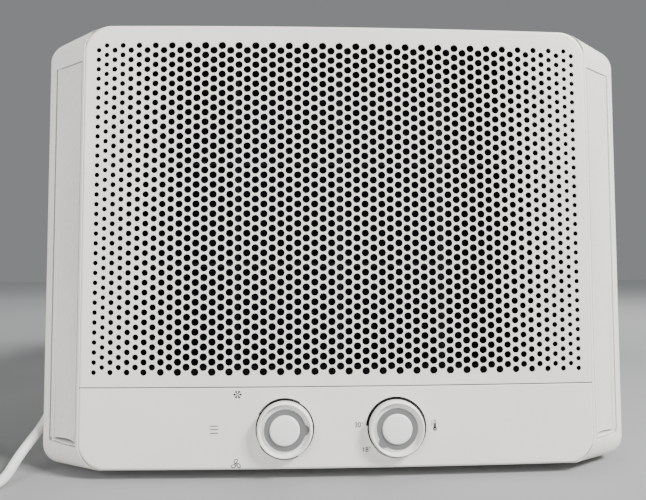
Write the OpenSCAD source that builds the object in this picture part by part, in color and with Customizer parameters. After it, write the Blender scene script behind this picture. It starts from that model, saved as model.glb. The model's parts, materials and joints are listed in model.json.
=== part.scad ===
// Window room air conditioner: a steel-cased unit with a moulded front whose two
// slanted wings hold the air outlet flaps, a perforated intake grille and two dials.
// The unit stands on its base pan: +X is to the right and -Y is towards the room.

/* [Front] */
// Width across the two wings
front_w = 503; // [490:1:506]
// Width of the flat face between the wings
face_w = 420; // [416:1:424]
// Height of the face
face_h = 363.3; // [360:0.1:368]
// Height of the face's lower edge above the surface
face_lift = 8; // [6:1:10]
// Corner radius of the face
face_r = 21; // [15:1:25]
// Height of the control panel below the seam
strip_h = 65.3; // [62:0.1:68]
// How far the face's sides fall back from its middle
face_sag = 4.4; // [3:0.1:5]
// Wall thickness of the moulded front
wall = 2.5; // [2:0.1:3]

/* [Cabinet] */
// Depth from the front of the dials to the end of the drain spout
body_d = 526; // [524:1:540]
// Width of the sheet-metal cabinet
cab_w = 466; // [460:1:470]
// Height of the cabinet's top above the surface
cab_top = 350; // [348:1:352]
// Sheet-metal thickness
sheet = 1.2; // [1:0.1:1.5]

/* [Grille] */
// Distance between holes in one column of the perforation
hole_pitch = 8; // [8:0.5:9]
// Radius of the widest holes
hole_r_max = 2.85; // [2:0.05:2.9]
// Columns on each side of the middle one
half_cols = 29; // [20:1:29]

/* [Dials] */
// Diameter of a dial
dial_dia = 45; // [40:1:48]
// How far a dial stands out of the face
dial_h = 6.8; // [6:0.1:8]
// Distance of each dial from the middle
dial_x = 45; // [42:1:60]

/* [Air system] */
// Diameter of the blower wheel
blower_dia = 190; // [180:1:200]
// Diameter of the condenser fan
fan_dia = 270; // [250:1:280]
// Sideways place of the motor shaft
shaft_x = -40; // [-45:1:-35]
// Height of the motor shaft
shaft_z = 190; // [186:1:194]
// Radius of the motor shaft
shaft_r = 6; // [5:0.5:7]

/* [Power cord] */
// Diameter of the cord
cord_dia = 8; // [7:0.5:8]
// Turns' middle radius in the coil
coil_r = 44; // [42:1:46]

/* [Hidden] */
$fn = 48;

dial_gap = 0.2;
dial_out = dial_h + dial_gap;
front_y = dial_out - body_d / 2;
back_d = body_d - dial_out;
face_r_plan = (face_w * face_w / 4 + face_sag * face_sag) / (2 * face_sag);
face_top = face_lift + face_h;
seam = 0.8;
grille_z = face_lift + strip_h + seam;
hole_mid_z = face_lift + 212;

// The slanted wing: starts at the face's edge and runs back at wing_a
wing_a = 34;
wing_x = face_w / 2 + 0.9;
wing_d = face_sag + 0.6;
rim_d = 34.5;
// Depth and half width of the outline where the wing rounds into the skirt
rim_steps = [[29.2, 246.8], [31.6, 250]];
skirt_z = 5.5;
skirt_h = 361;
skirt_r = 16;
// Behind the rim the skirt deepens downwards, to pass under the base pan
foot_d = 50;
foot_z = 0.5;
skirt_d = 75;

// Air outlet window in the wing, measured along the slope
flap_z0 = hole_mid_z - 192.5;
flap_z1 = hole_mid_z + 122;
window_s = 39.2;
flap_s0 = 0.8;
flap_s1 = 37.2;
flap_t = 2.2;
flap_dip = 4;
flap_cap = 1.2;
cap_bulge = 1.6;
pin_s = 35.5;
pin_n = -2.6;
pin_r = 1.5;
fit_gap = 0.06;

pocket_d = 16;
seal_t = 1.6;
seal_w = 415;
seal_z0 = 77;
seal_z1 = 363.5;
hinge_d = 8.2;
hinge_z = face_top - 3.3;
lug_r = 2.6;
filter_d = 20;
filter_t = 6;
filter_w = 360;
filter_z = 81;
filter_h = 270;

coil_z0 = 86;
coil_z1 = 340;
evap_d0 = 31;
evap_d1 = 71;
plenum_d0 = 86;
plenum_d1 = 200;
cond_d0 = 452;
cond_d1 = 492;
cab_d0 = 64;
cab_d1 = 506;
cab_z = 7.5;
// The case's front edge is stepped in, where the plastic front slips over it
lip_d = 76;
lip_in = 0.5;
pan_z = 6;
comp_x = 115;
comp_d = 300;
dial_z = 40.5;
drain_x = 180;
drain_z = 20.5;

cord_r = cord_dia / 2;
coil_x = -350;
coil_y = -246;
coil_lift = 1.2;
// Centreline of the cord from the strain relief to the coil
route = [[-257, -168, 64], [-257, -176, 62], [-256, -186, 56], [-256, -196, 47],
    [-257, -205, 38], [-259, -215, 30], [-262, -224, 23], [-264, -233, 17], [-265, -242, 11],
    [-265, -250, 6.5], [-265, -258, 4.5], [-266, -267, 4], [-270, -277, 4], [-277, -286, 4],
    [-287, -292, 4], [-298, -294, 4], [-310, -294, 4], [-321, -294, 4.5], [-332, -294, 5]];
// Centreline from the coil to the plug
tail = [[-398, -226, 13], [-398, -217, 12.5], [-398, -208, 11], [-398, -199, 10]];
plug_x = -398;
plug_y = -201;
plug_z = 10;

function y_at(d) = front_y + d;
function sq(v) = v * v;
function hole_r(i) = min(hole_r_max, 1.72 + 0.21 * floor((half_cols - abs(i)) / 2));
function hole_x(i) = hole_pitch * 0.866 * i
    - sign(i) * 2.16 * pow(abs(i) * hole_pitch * 0.866 / 200, 5);

// ---------- shared shapes ----------

module outline(w, h, r) {
    union() {
        square([w - 2 * r, h], center = true);
        square([w, h - 2 * r], center = true);
        for (x = [-1, 1], z = [-1, 1])
            translate([x * (w / 2 - r), z * (h / 2 - r)])
                circle(r = r);
    }
}

// Stands a flat outline upright: drawn in X and Z, it runs back from depth d by t
module upright(d, t) {
    translate([0, y_at(d + t), 0])
        rotate([90, 0, 0])
            linear_extrude(t)
                children();
}

// A cylinder that runs back along Y from depth d0 to depth d1
module along_y(x, z, r, d0, d1) {
    translate([x, y_at(d0), z])
        rotate([-90, 0, 0])
            cylinder(r = r, h = d1 - d0);
}

module block(x0, x1, d0, d1, z0, z1) {
    translate([x0, y_at(d0), z0])
        cube([x1 - x0, d1 - d0, z1 - z0]);
}

// Everything behind the gently bowed face, moved back by inset
module behind_face(inset) {
    translate([0, front_y + face_r_plan, -1])
        cylinder(r = face_r_plan - inset, h = face_top + 20, $fn = 3600);
}

// Places a wing detail: side is -1 or 1, X runs along the slope and Y points out of it
module on_wing(side) {
    mirror([side < 0 ? 1 : 0, 0, 0])
        translate([wing_x, y_at(wing_d), 0])
            rotate([0, 0, wing_a])
                mirror([0, 1, 0])
                    children();
}

// ---------- front ----------

// Outline of the skirt from its lower edge at z, made smaller all round by inset
module skirt_outline(z, inset) {
    top = skirt_z + skirt_h;
    translate([0, (z + top) / 2])
        outline(front_w - 2 * inset, top - z - 2 * inset, skirt_r - inset);
}

module skirt_body(d, inset) {
    upright(d, skirt_d - d)
        skirt_outline(skirt_z, inset);
    upright(foot_d + inset, skirt_d - foot_d - inset)
        skirt_outline(foot_z, inset);
}

module frame_outer() {
    hull() {
        upright(5, 0.5)
            translate([0, face_lift + face_h / 2])
                outline(face_w + 1.6, face_h, face_r);
        for (step = rim_steps)
            upright(step[0], 0.5)
                translate([0, skirt_z + skirt_h / 2])
                    outline(2 * step[1], skirt_h - 2, skirt_r - 1);
        upright(rim_d, 1)
            skirt_outline(skirt_z, 0);
    }
    skirt_body(rim_d, 0);
}

module frame_inner() {
    hull() {
        upright(18.5, 0.5)
            translate([0, face_lift + face_h / 2 - 1.6])
                outline(front_w - 50, face_h - 6.3, face_r - 2);
        upright(rim_d + 2, 1)
            skirt_outline(skirt_z, wall);
    }
    skirt_body(rim_d + 2, wall);
}

module front_frame() {
    color([0.86, 0.86, 0.84])
    difference() {
        union() {
            difference() {
                frame_outer();
                frame_inner();
            }
            for (side = [-1, 1], z = [flap_z0 - 8, flap_z1])
                on_wing(side)
                    translate([pin_s, pin_n, z])
                        cylinder(r = 4.6, h = 8);
            for (side = [-1, 1], z = [flap_z0 - wall, flap_z1])
                on_wing(side)
                    translate([0, -20, z])
                        cube([window_s + 2, 19, wall]);
            for (side = [-1, 1])
                block(side * 184 - 3, side * 184 + 3, 18, 28, filter_z - 3, 366);
            block(-182, 182, 18, 27.2, filter_z - 3, filter_z - 0.5);
            difference() {
                upright(skirt_d - 2, 2)
                    skirt_outline(foot_z, wall);
                block(-cab_w / 2 - 0.4, cab_w / 2 + 0.4, 60, 80, -5, cab_top + 0.4);
            }
        }
        upright(-1, pocket_d + 1)
            translate([0, face_lift + face_h / 2])
                outline(face_w + 0.8, face_h + 0.8, face_r - 4);
        block(-178, 178, 10, 30, filter_z + 3, 346);
        for (x = [-dial_x, dial_x])
            block(x - 24, x + 24, 10, 30, 14, 66);
        block(-181, 181, 18.8, 27.2, filter_z - 0.5, 400);
        for (side = [-1, 1])
            on_wing(side) {
                translate([0, -30, flap_z0])
                    cube([window_s, 34, flap_z1 - flap_z0]);
                translate([pin_s, pin_n, flap_z0 - 5])
                    cylinder(r = pin_r + fit_gap, h = flap_z1 - flap_z0 + 10);
            }
    }
    color([0.86, 0.86, 0.84])
    for (side = [-1, 1])
        difference() {
            union() {
                block(side * 163 - 3, side * 163 + 3, hinge_d, pocket_d + 1, hinge_z - lug_r,
                    hinge_z + lug_r);
                translate([side * 163 - 3, y_at(hinge_d), hinge_z])
                    rotate([0, 90, 0])
                        cylinder(r = lug_r, h = 6);
            }
            translate([side * 163 - 5, y_at(hinge_d), hinge_z])
                rotate([0, 90, 0])
                    cylinder(r = pin_r + fit_gap, h = 10);
        }
}

// A shallow tray with a bowed front, open at the back
module face_tray(z0, z1, depth) {
    difference() {
        intersection() {
            upright(-1, depth + 1)
                intersection() {
                    translate([0, face_lift + face_h / 2])
                        outline(face_w, face_h, face_r);
                    translate([-face_w, z0])
                        square([2 * face_w, z1 - z0]);
                }
            behind_face(0);
        }
        intersection() {
            upright(-1, depth + 2)
                intersection() {
                    translate([0, face_lift + face_h / 2])
                        outline(face_w - 2 * wall, face_h - 2 * wall, face_r - wall);
                    translate([-face_w, z0 + wall])
                        square([2 * face_w, z1 - z0 - 2 * wall]);
                }
            behind_face(wall);
        }
    }
}

// Each column of holes is cut as slots of the same open area
module front_grille() {
    color([0.86, 0.86, 0.84])
    difference() {
        face_tray(grille_z, face_top + 20, 13);
        upright(-2, 8)
            for (i = [-half_cols:half_cols], band = [-1, 1]) {
                slot_w = PI * sq(hole_r(i)) / hole_pitch;
                translate([hole_x(i), hole_mid_z + band * 67])
                    square([slot_w, 130], center = true);
            }
        for (side = [-1, 1])
            block(side * 161 - 9, side * 161 + 9, 5.3, 15, hinge_z - 4, face_top + 1);
    }
    color([0.86, 0.86, 0.84])
    for (side = [-1, 1]) {
        block(side * 155 - 2.5, side * 155 + 2.5, 3.5, hinge_d + 2.2, hinge_z - 2, hinge_z + 2);
        translate([side * 155 + (side > 0 ? 2 : -12), y_at(hinge_d), hinge_z])
            rotate([0, 90, 0])
                cylinder(r = pin_r, h = 10);
    }
}

module control_panel() {
    color([0.86, 0.86, 0.84])
    difference() {
        face_tray(-20, face_lift + strip_h, 15.6);
        for (x = [-dial_x, dial_x])
            along_y(x, dial_z, 5, -2, 10);
    }
}

module flap(side) {
    chord = flap_s1 - flap_s0;
    bow_r = chord * chord / (8 * flap_dip) + flap_dip / 2;
    cap_r = chord * chord / (8 * cap_bulge) + cap_bulge / 2;
    middle = (flap_s0 + flap_s1) / 2;
    color([0.84, 0.84, 0.82])
    on_wing(side) {
        translate([0, 0, flap_z0 + 0.6])
            linear_extrude(flap_z1 - flap_z0 - 1.2)
                intersection() {
                    translate([flap_s0, -10])
                        square([chord, 10]);
                    translate([middle, bow_r - flap_dip])
                        difference() {
                            circle(r = bow_r + flap_t, $fn = 180);
                            circle(r = bow_r, $fn = 180);
                        }
                }
        translate([0, 0, flap_z0 + 0.6])
            linear_extrude(flap_cap)
                intersection() {
                    polygon([[flap_s0 + 0.5, 0], [flap_s1 - 0.5, 0], [flap_s1 - 0.5, -7],
                        [flap_s0 + 5.5, -7], [flap_s0 + 0.5, -1]]);
                    translate([middle, -cap_r - 0.3])
                        circle(r = cap_r, $fn = 360);
                }
        translate([pin_s, pin_n, flap_z0 + 0.6])
            cylinder(r = 2.2, h = flap_z1 - flap_z0 - 1.2);
        translate([pin_s, pin_n, flap_z0 - 4])
            cylinder(r = pin_r, h = flap_z1 - flap_z0 + 8);
    }
}

module left_flap() {
    flap(-1);
}

module right_flap() {
    flap(1);
}

// ---------- dials and controls ----------

// Profile of a dial, from its middle outwards; the height is measured off the face
module dial(x) {
    r = dial_dia / 2;
    color([0.87, 0.87, 0.85])
    translate([x, y_at(-dial_gap), dial_z])
        rotate([90, 0, 0])
            difference() {
                rotate_extrude()
                    polygon([[0, 0.4], [r - 0.6, 0.4], [r, 1.5], [r - 0.7, dial_h - 1],
                        [r - 1.6, dial_h], [r - 2.2, dial_h - 0.4], [r - 2.9, dial_h - 3.2],
                        [12.2, dial_h - 3.2], [12, dial_h - 1.2], [10, dial_h - 0.8],
                        [0, dial_h - 0.6]]);
                translate([0, 0, -1])
                    cylinder(r = 3.1, h = 4);
            }
}

module dial_ring(x, turn) {
    color([0.6, 0.6, 0.6])
    translate([x, y_at(-dial_gap) - dial_h + 3.2, dial_z])
        rotate([90, turn, 0])
            linear_extrude(1.6)
                difference() {
                    union() {
                        circle(r = 16.5);
                        translate([14.8, 0])
                            circle(r = 4.4);
                    }
                    circle(r = 12.3);
                }
}

module mode_dial() {
    dial(-dial_x);
}

module mode_dial_ring() {
    dial_ring(-dial_x, 0);
}

module temperature_dial() {
    dial(dial_x);
}

module temperature_dial_ring() {
    dial_ring(dial_x, 225);
}

module control_shaft(x) {
    color("silver")
    along_y(x, dial_z, 3, -2, 26);
}

module mode_shaft() {
    control_shaft(-dial_x);
}

module thermostat_shaft() {
    control_shaft(dial_x);
}

module mode_switch() {
    color([0.2, 0.2, 0.22])
    difference() {
        union() {
            block(-dial_x - 17, -dial_x + 17, 22, 48, dial_z - 15, dial_z + 15);
            along_y(-dial_x, dial_z, 6, 16, 22);
            for (x = [-12, -4, 4, 12])
                block(-dial_x + x - 1.5, -dial_x + x + 1.5, 48, 56, dial_z - 4, dial_z + 4);
        }
        along_y(-dial_x, dial_z, 3 + fit_gap, 10, 27);
    }
}

module thermostat() {
    color([0.75, 0.75, 0.76])
    difference() {
        union() {
            block(dial_x - 20, dial_x + 20, 22, 46, dial_z - 13, dial_z + 13);
            along_y(dial_x, dial_z, 6, 16, 22);
        }
        along_y(dial_x, dial_z, 3 + fit_gap, 10, 27);
    }
}

module sensing_bulb() {
    color("peru")
    tube(smooth([[dial_x + 20.2, y_at(38), dial_z], [73, y_at(38), dial_z],
        [80, y_at(38), 45], [82, y_at(36), 56], [83, y_at(31), 67], [84, y_at(28.7), 73],
        [85, y_at(28.6), 79], [87, y_at(28.6), 90], [90, y_at(28.6), 110],
        [90, y_at(28.6), 180]], 2), 1, 8);
    color("peru")
    translate([90, y_at(28.4), 180])
        cylinder(r = 1.9, h = 60);
}

module control_bracket() {
    color("silver")
    difference() {
        union() {
            block(-90, 90, 19, 20.2, 21.8, 72);
            block(-90, 90, 20.2, 60, 21.8, 23);
            for (x = [-90, 88.8])
                block(x, x + 1.2, 20.2, 60, 23, 72);
        }
        for (x = [-dial_x, dial_x])
            along_y(x, dial_z, 7, 10, 25);
    }
}

module run_capacitor() {
    color([0.8, 0.8, 0.82])
    translate([8, y_at(24), 38])
        rotate([-90, 0, 0])
            cylinder(r = 15, h = 50);
    color("gold")
    for (x = [2, 14])
        block(x - 2.5, x + 2.5, 74, 82, 37.6, 38.4);
}

// ---------- filter and cold side ----------

// Foam strip round the filter opening, on the frame's front plate
module air_seal() {
    color([0.1, 0.1, 0.1])
    difference() {
        upright(pocket_d - seal_t, seal_t)
            translate([0, (seal_z0 + seal_z1) / 2])
                outline(seal_w, seal_z1 - seal_z0, 12);
        block(-178, 178, 10, 30, filter_z + 3, 346);
    }
}

module filter_frame() {
    color([0.25, 0.27, 0.3])
    difference() {
        union() {
            block(-filter_w / 2, filter_w / 2, filter_d, filter_d + filter_t,
                filter_z, filter_z + filter_h);
            block(-30, 30, filter_d + 1, filter_d + filter_t - 1,
                filter_z + filter_h, filter_z + filter_h + 9);
        }
        for (col = [-2:1], row = [0:2])
            block(col * 88 + 3, col * 88 + 85, filter_d - 1, filter_d + filter_t + 1,
                filter_z + 6 + row * 87, filter_z + 6 + row * 87 + 84);
    }
}

module filter_mesh() {
    color([0.15, 0.16, 0.18])
    for (col = [-2:1], row = [0:2])
        block(col * 88 + 3, col * 88 + 85, filter_d + 2.6, filter_d + 3.4,
            filter_z + 6 + row * 87, filter_z + 6 + row * 87 + 84);
}

// Upright fins along X, joined by a thin core, so the block stays one solid
module fin_block(w, d0, d1, z0, z1, count) {
    pitch = w / count;
    translate([-w / 2, y_at(d0), z0])
        linear_extrude(z1 - z0)
            difference() {
                square([w, d1 - d0]);
                for (i = [0:count - 1])
                    translate([(i + 0.25) * pitch, -1])
                        square([pitch * 0.8, (d1 - d0) / 2 - 1]);
                for (i = [0:count - 1])
                    translate([(i + 0.25) * pitch, (d1 - d0) / 2 + 2])
                        square([pitch * 0.8, (d1 - d0) / 2]);
            }
}

module end_plates(w, d0, d1, z0, z1) {
    for (side = [-1, 1])
        block(side * (w / 2 + 0.6) - 0.6, side * (w / 2 + 0.6) + 0.6, d0, d1, z0, z1);
}

// Return bends of the coil's tubes, standing out of both end plates
module return_bends(w, d0, d1, z0, count, pitch) {
    for (side = [-1, 1], row = [0, 1], i = [0:count - 1])
        translate([side * (w / 2 + 1.2), y_at(d0 + (d1 - d0) * (0.3 + 0.4 * row)),
            z0 + pitch * (2 * i + (side > 0 ? 1 : 1.9))])
            rotate([90, 0, side > 0 ? 0 : 180])
                rotate([0, 0, -90])
                    rotate_extrude(angle = 180)
                        translate([pitch * 0.45, 0])
                            circle(r = 4);
}

module evaporator_fins() {
    color("silver")
    fin_block(348, evap_d0, evap_d1, coil_z0, coil_z1, 60);
}

module evaporator_plates() {
    color("lightgray")
    end_plates(348, evap_d0, evap_d1, coil_z0, coil_z1);
}

module evaporator_bends() {
    color("peru")
    return_bends(348, evap_d0, evap_d1, coil_z0, 6, 20);
}

module drain_tray() {
    color([0.9, 0.9, 0.9])
    difference() {
        block(-186, 186, 30, 84, 76, 85.5);
        block(-184.5, 184.5, 31.5, 82.5, 77.5, 90);
        translate([150, y_at(75), 70])
            cylinder(r = 4, h = 10);
    }
}

module duct_wall(side) {
    color([0.92, 0.92, 0.9])
    block(side * 191 - 1, side * 191 + 1, 30, 85.6, 87, 346);
}

module left_duct_wall() {
    duct_wall(-1);
}

// The evaporator's suction and liquid lines pass through the right wall
module right_duct_wall() {
    difference() {
        duct_wall(1);
        for (hole = [[54, 124, 8], [45, 165, 4.5]])
            translate([185, y_at(hole[0]), hole[1]])
                rotate([0, 90, 0])
                    cylinder(r = hole[2], h = 12);
    }
}

module blower_housing() {
    color([0.93, 0.93, 0.92])
    difference() {
        block(-226, 226, plenum_d0, plenum_d1, 76, 346);
        block(-224, 224, plenum_d0 + 2, plenum_d1 + 1, 78, 344);
        along_y(shaft_x, shaft_z, blower_dia / 2 - 20, plenum_d0 - 1, plenum_d0 + 5);
        for (side = [-1, 1])
            block(side * 207 - 15, side * 207 + 15, plenum_d0 - 1, plenum_d0 + 5, 88, 334);
    }
}

module blower_wheel() {
    r = blower_dia / 2;
    color([0.2, 0.2, 0.22])
    translate([shaft_x, y_at(176), shaft_z])
        rotate([90, 0, 0]) {
            difference() {
                cylinder(r = r, h = 2);
                translate([0, 0, -1])
                    cylinder(r = shaft_r + 0.05, h = 10);
            }
            difference() {
                cylinder(r = 16, h = 34);
                translate([0, 0, -1])
                    cylinder(r = shaft_r + 0.05, h = 40);
            }
            translate([0, 0, 2])
                linear_extrude(72)
                    for (i = [0:35])
                        rotate(i * 10)
                            translate([r - 1.2, 0])
                                rotate(35)
                                    translate([-18, -0.6])
                                        square([18, 1.2]);
            translate([0, 0, 74])
                difference() {
                    cylinder(r = r, h = 3);
                    translate([0, 0, -1])
                        cylinder(r = r - 15, h = 6);
                }
        }
}

// ---------- partition, motor and hot side ----------

module bulkhead() {
    color("silver")
    difference() {
        union() {
            block(-228, 228, plenum_d1 + 0.4, plenum_d1 + 1.6, pan_z + 2, 347);
            block(-228, 228, plenum_d1 + 1.6, plenum_d1 + 12, 345.8, 347);
        }
        along_y(shaft_x, shaft_z, 22, plenum_d1 - 1, plenum_d1 + 5);
        for (x = [198, 212])
            along_y(x, 60, 6, plenum_d1 - 1, plenum_d1 + 5);
    }
}

module fan_motor() {
    color([0.35, 0.36, 0.38])
    difference() {
        union() {
            along_y(shaft_x, shaft_z, 46, 236, 286);
            along_y(shaft_x, shaft_z, 36, 224, 298);
            along_y(shaft_x, shaft_z, 14, 216, 306);
            for (i = [0:3])
                translate([shaft_x, y_at(236), shaft_z])
                    rotate([-90, 0, 0])
                        rotate(45 + 90 * i)
                            translate([44, -7, 0])
                                cube([18, 14, 5]);
        }
        along_y(shaft_x, shaft_z, shaft_r + fit_gap, 200, 330);
    }
}

module motor_bracket() {
    color("silver")
    difference() {
        union() {
            block(shaft_x - 68, shaft_x + 68, 233, 236, 40, 254);
            block(shaft_x - 68, shaft_x + 68, 236, 330, 40, 43);
            for (side = [-1, 1]) {
                block(shaft_x + side * 66.5 - 1.5, shaft_x + side * 66.5 + 1.5, 236, 260, 43, 250);
                block(shaft_x + side * 66.5 - 1.5, shaft_x + side * 66.5 + 1.5, 240, 322,
                    pan_z + sheet, 40);
            }
        }
        along_y(shaft_x, shaft_z, 44, 230, 240);
    }
}

module motor_shaft() {
    color("silver")
    along_y(shaft_x, shaft_z, shaft_r, 138, 424);
}

module condenser_fan() {
    r = fan_dia / 2;
    color([0.2, 0.22, 0.25])
    translate([shaft_x, y_at(396), shaft_z])
        rotate([-90, 0, 0]) {
            difference() {
                union() {
                    cylinder(r = 34, h = 26);
                    intersection() {
                        translate([0, 0, -4])
                            cylinder(r = r - 3, h = 34);
                        for (i = [0:4])
                            rotate(i * 72)
                                translate([22, 0, 13])
                                    rotate([24, 0, 0])
                                        translate([0, -34, -1.2])
                                            cube([r, 68, 2.4]);
                    }
                    difference() {
                        cylinder(r = r, h = 20);
                        translate([0, 0, -1])
                            cylinder(r = r - 4, h = 30);
                    }
                }
                translate([0, 0, -5])
                    cylinder(r = shaft_r + 0.05, h = 40);
            }
        }
}

module condenser_shroud() {
    orifice_r = fan_dia / 2 + 7;
    color([0.9, 0.9, 0.9])
    difference() {
        union() {
            difference() {
                block(-222, 222, 428, cond_d0, 18, 344);
                block(-220, 220, 430, cond_d0 + 1, 20, 342);
            }
            along_y(shaft_x, shaft_z, orifice_r + 2, 392, 429);
        }
        along_y(shaft_x, shaft_z, orifice_r, 380, 440);
    }
}

module condenser_fins() {
    color("silver")
    fin_block(420, cond_d0, cond_d1, 22, 340, 70);
}

module condenser_plates() {
    color("lightgray")
    end_plates(420, cond_d0, cond_d1, 22, 340);
}

module condenser_bends() {
    color("peru")
    return_bends(420, cond_d0, cond_d1, 22, 7, 21);
}

module compressor() {
    color([0.12, 0.12, 0.13])
    translate([comp_x, y_at(comp_d), 30])
        difference() {
            union() {
                rotate_extrude()
                    polygon(concat([[0, 0], [44, 0]],
                        [for (a = [-60:15:0]) [58 + 4 * cos(a) - 2, 10 + 8 * sin(a)]],
                        [for (a = [0:15:90]) [30 + 30 * cos(a), 176 + 26 * sin(a)]],
                        [[0, 202]]));
                for (i = [0:2])
                    rotate(i * 120 + 30)
                        translate([0, -16, -3])
                            cube([74, 32, 3]);
                cylinder(r = 44, h = 3);
            }
            translate([0, 0, 12])
                cylinder(r = 46, h = 160);
            for (i = [0:2])
                rotate(i * 120 + 30)
                    translate([66, 0, -5])
                        cylinder(r = 6, h = 8);
        }
}

module on_feet() {
    for (i = [0:2])
        translate([comp_x, y_at(comp_d), 0])
            rotate(i * 120 + 30)
                translate([66, 0, 0])
                    children();
}

module compressor_feet() {
    color([0.1, 0.1, 0.1])
    on_feet()
        difference() {
            union() {
                translate([0, 0, pan_z + sheet])
                    cylinder(r = 10, h = 27 - pan_z - sheet);
                translate([0, 0, 27])
                    cylinder(r = 5.8, h = 6);
            }
            cylinder(r = 3.2, h = 40);
        }
}

module compressor_nuts() {
    color("silver")
    on_feet() {
        translate([0, 0, pan_z + sheet])
            cylinder(r = 3, h = 32);
        translate([0, 0, 33])
            cylinder(r = 5.5, h = 5, $fn = 6);
    }
}

module terminal_cover() {
    color([0.15, 0.15, 0.16])
    translate([comp_x - 71, y_at(comp_d) - 16, 110])
        difference() {
            cube([20, 32, 44]);
            translate([71, 16, -30])
                cylinder(r = 60.4, h = 100);
        }
}

module accumulator() {
    color([0.12, 0.12, 0.13])
    translate([comp_x + 78, y_at(comp_d), 60])
        rotate_extrude()
            polygon([[0, 0], [10, 4], [14, 14], [14, 100], [10, 110], [0, 114]]);
}

// Discharge, suction and liquid lines
module refrigerant_pipes() {
    color("peru")
    tube(smooth([[comp_x, y_at(comp_d), 232.2], [comp_x, y_at(comp_d), 262],
        [comp_x + 6, y_at(comp_d + 12), 284], [comp_x + 30, y_at(335), 304],
        [190, y_at(352), 318], [216, y_at(364), 318], [227.5, y_at(385), 318],
        [227.5, y_at(440), 318], [227.5, y_at(466), 318], [224, y_at(477), 318],
        [211.8, y_at(480), 318]], 2), 3, 8);
    color("peru")
    tube(smooth([[comp_x + 78, y_at(comp_d), 174.2], [comp_x + 78, y_at(comp_d), 196],
        [comp_x + 79, y_at(286), 214], [comp_x + 81, y_at(262), 214],
        [comp_x + 82, y_at(236), 196], [198, y_at(226), 150], [198, y_at(224), 90],
        [198, y_at(212), 64], [198, y_at(180), 60], [198, y_at(110), 60],
        [198, y_at(76), 62], [198, y_at(60), 78], [198, y_at(54), 100], [197, y_at(54), 116],
        [190, y_at(54), 125], [182, y_at(54), 126], [175.8, y_at(54), 126]], 2), 4, 8);
    color("peru")
    tube(smooth([[212, y_at(232), 40], [212, y_at(224), 46], [212, y_at(214), 58],
        [212, y_at(190), 60], [212, y_at(100), 60], [211, y_at(60), 62],
        [208, y_at(48), 72], [206, y_at(45), 100], [205, y_at(45), 150],
        [200, y_at(45), 163], [190, y_at(45), 166], [175.8, y_at(45), 166]], 2), 1.5, 8);
}

module filter_drier() {
    color("peru")
    translate([212, y_at(232.5), 40])
        rotate([-90, 0, 0])
            rotate_extrude()
                polygon([[0, 0], [3, 2], [9, 12], [9, 70], [3, 80], [0, 82]]);
}

// ---------- case ----------

module base_pan() {
    color([0.8, 0.8, 0.78])
    difference() {
        union() {
            difference() {
                block(-230, 230, 82, 502, pan_z, 34);
                block(-230 + sheet, 230 - sheet, 82 + sheet, 502 - sheet, pan_z + sheet, 40);
            }
            for (side = [-1, 1])
                block(side * 150 - 14, side * 150 + 14, 90, 490, 0, pan_z + sheet);
            along_y(drain_x, drain_z, 10, 494, 501.5);
        }
        for (side = [-1, 1])
            block(side * 150 - 12, side * 150 + 12, 92, 488, sheet, pan_z + sheet + 5);
        for (x = [-190, 190], d = [110, 410])
            translate([x, y_at(d), -1])
                cylinder(r = 3.5, h = 20);
        along_y(drain_x, drain_z, 8, 490, 510);
    }
}

// Louvre slots: rows of upright slits through one side wall
module side_slots(x, d0, count) {
    for (i = [0:count - 1], z = [60, 140, 220])
        block(x - 4, x + 4, d0 + i * 14, d0 + i * 14 + 6, z, z + 66);
}

module cabinet() {
    color([0.82, 0.82, 0.8])
    difference() {
        union() {
            block(-cab_w / 2, cab_w / 2, lip_d, cab_d1, cab_z, cab_top);
            block(-cab_w / 2 + lip_in, cab_w / 2 - lip_in, cab_d0, lip_d + 1, cab_z,
                cab_top - lip_in);
        }
        block(-cab_w / 2 + sheet, cab_w / 2 - sheet, lip_d + 1, cab_d1 + 1, -1, cab_top - sheet);
        block(-cab_w / 2 + lip_in + sheet, cab_w / 2 - lip_in - sheet, cab_d0 - 1, lip_d + 2, -1,
            cab_top - lip_in - sheet);
        for (x = [-cab_w / 2, cab_w / 2])
            side_slots(x, 232, 10);
        for (i = [0:9], x = [-150, -50, 50])
            block(x, x + 90, 232 + i * 14, 238 + i * 14, cab_top - 4, cab_top + 2);
        translate([-cab_w / 2 - 5, y_at(100), 64])
            rotate([0, 90, 0])
                cylinder(r = 6, h = 10);
    }
}

module rear_guard() {
    color([0.8, 0.8, 0.78])
    difference() {
        upright(502.4, 1.6)
            translate([0, 192])
                square([458, 308], center = true);
        upright(500, 6)
            for (row = [0:17], col = [-3:3])
                translate([col * 60, 56 + row * 16])
                    square([50, 9], center = true);
        for (x = [-222, 222], z = [46, 334])
            along_y(x, z, 2, 500, 506);
    }
}

module cabinet_screws() {
    color("silver")
    for (side = [-1, 1], d = [130, 290, 460])
        translate([side * (cab_w / 2 + 0.05), y_at(d), 24])
            rotate([0, side * 90, 0])
                cylinder(r1 = 4, r2 = 3, h = 2);
}

module guard_screws() {
    color("silver")
    for (x = [-222, 222], z = [46, 334])
        translate([x, y_at(501), z])
            rotate([-90, 0, 0])
                cylinder(r = 1.9, h = 3);
    color("silver")
    for (x = [-222, 222], z = [46, 334])
        translate([x, y_at(504), z])
            rotate([-90, 0, 0])
                cylinder(r1 = 4, r2 = 3, h = 1.9);
}

module bracket_screws() {
    color("silver")
    for (i = [0:3])
        translate([shaft_x, y_at(241.1), shaft_z])
            rotate([-90, 0, 0])
                rotate(45 + 90 * i)
                    translate([56, 0, 0])
                        cylinder(r = 4, h = 3, $fn = 6);
}

module drain_spout() {
    color([0.3, 0.3, 0.32])
    difference() {
        union() {
            along_y(drain_x, drain_z, 12, 502.1, 504);
            along_y(drain_x, drain_z, 7.95, 493, back_d);
        }
        along_y(drain_x, drain_z, 5.5, 480, 530);
    }
}

// ---------- cord ----------

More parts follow.
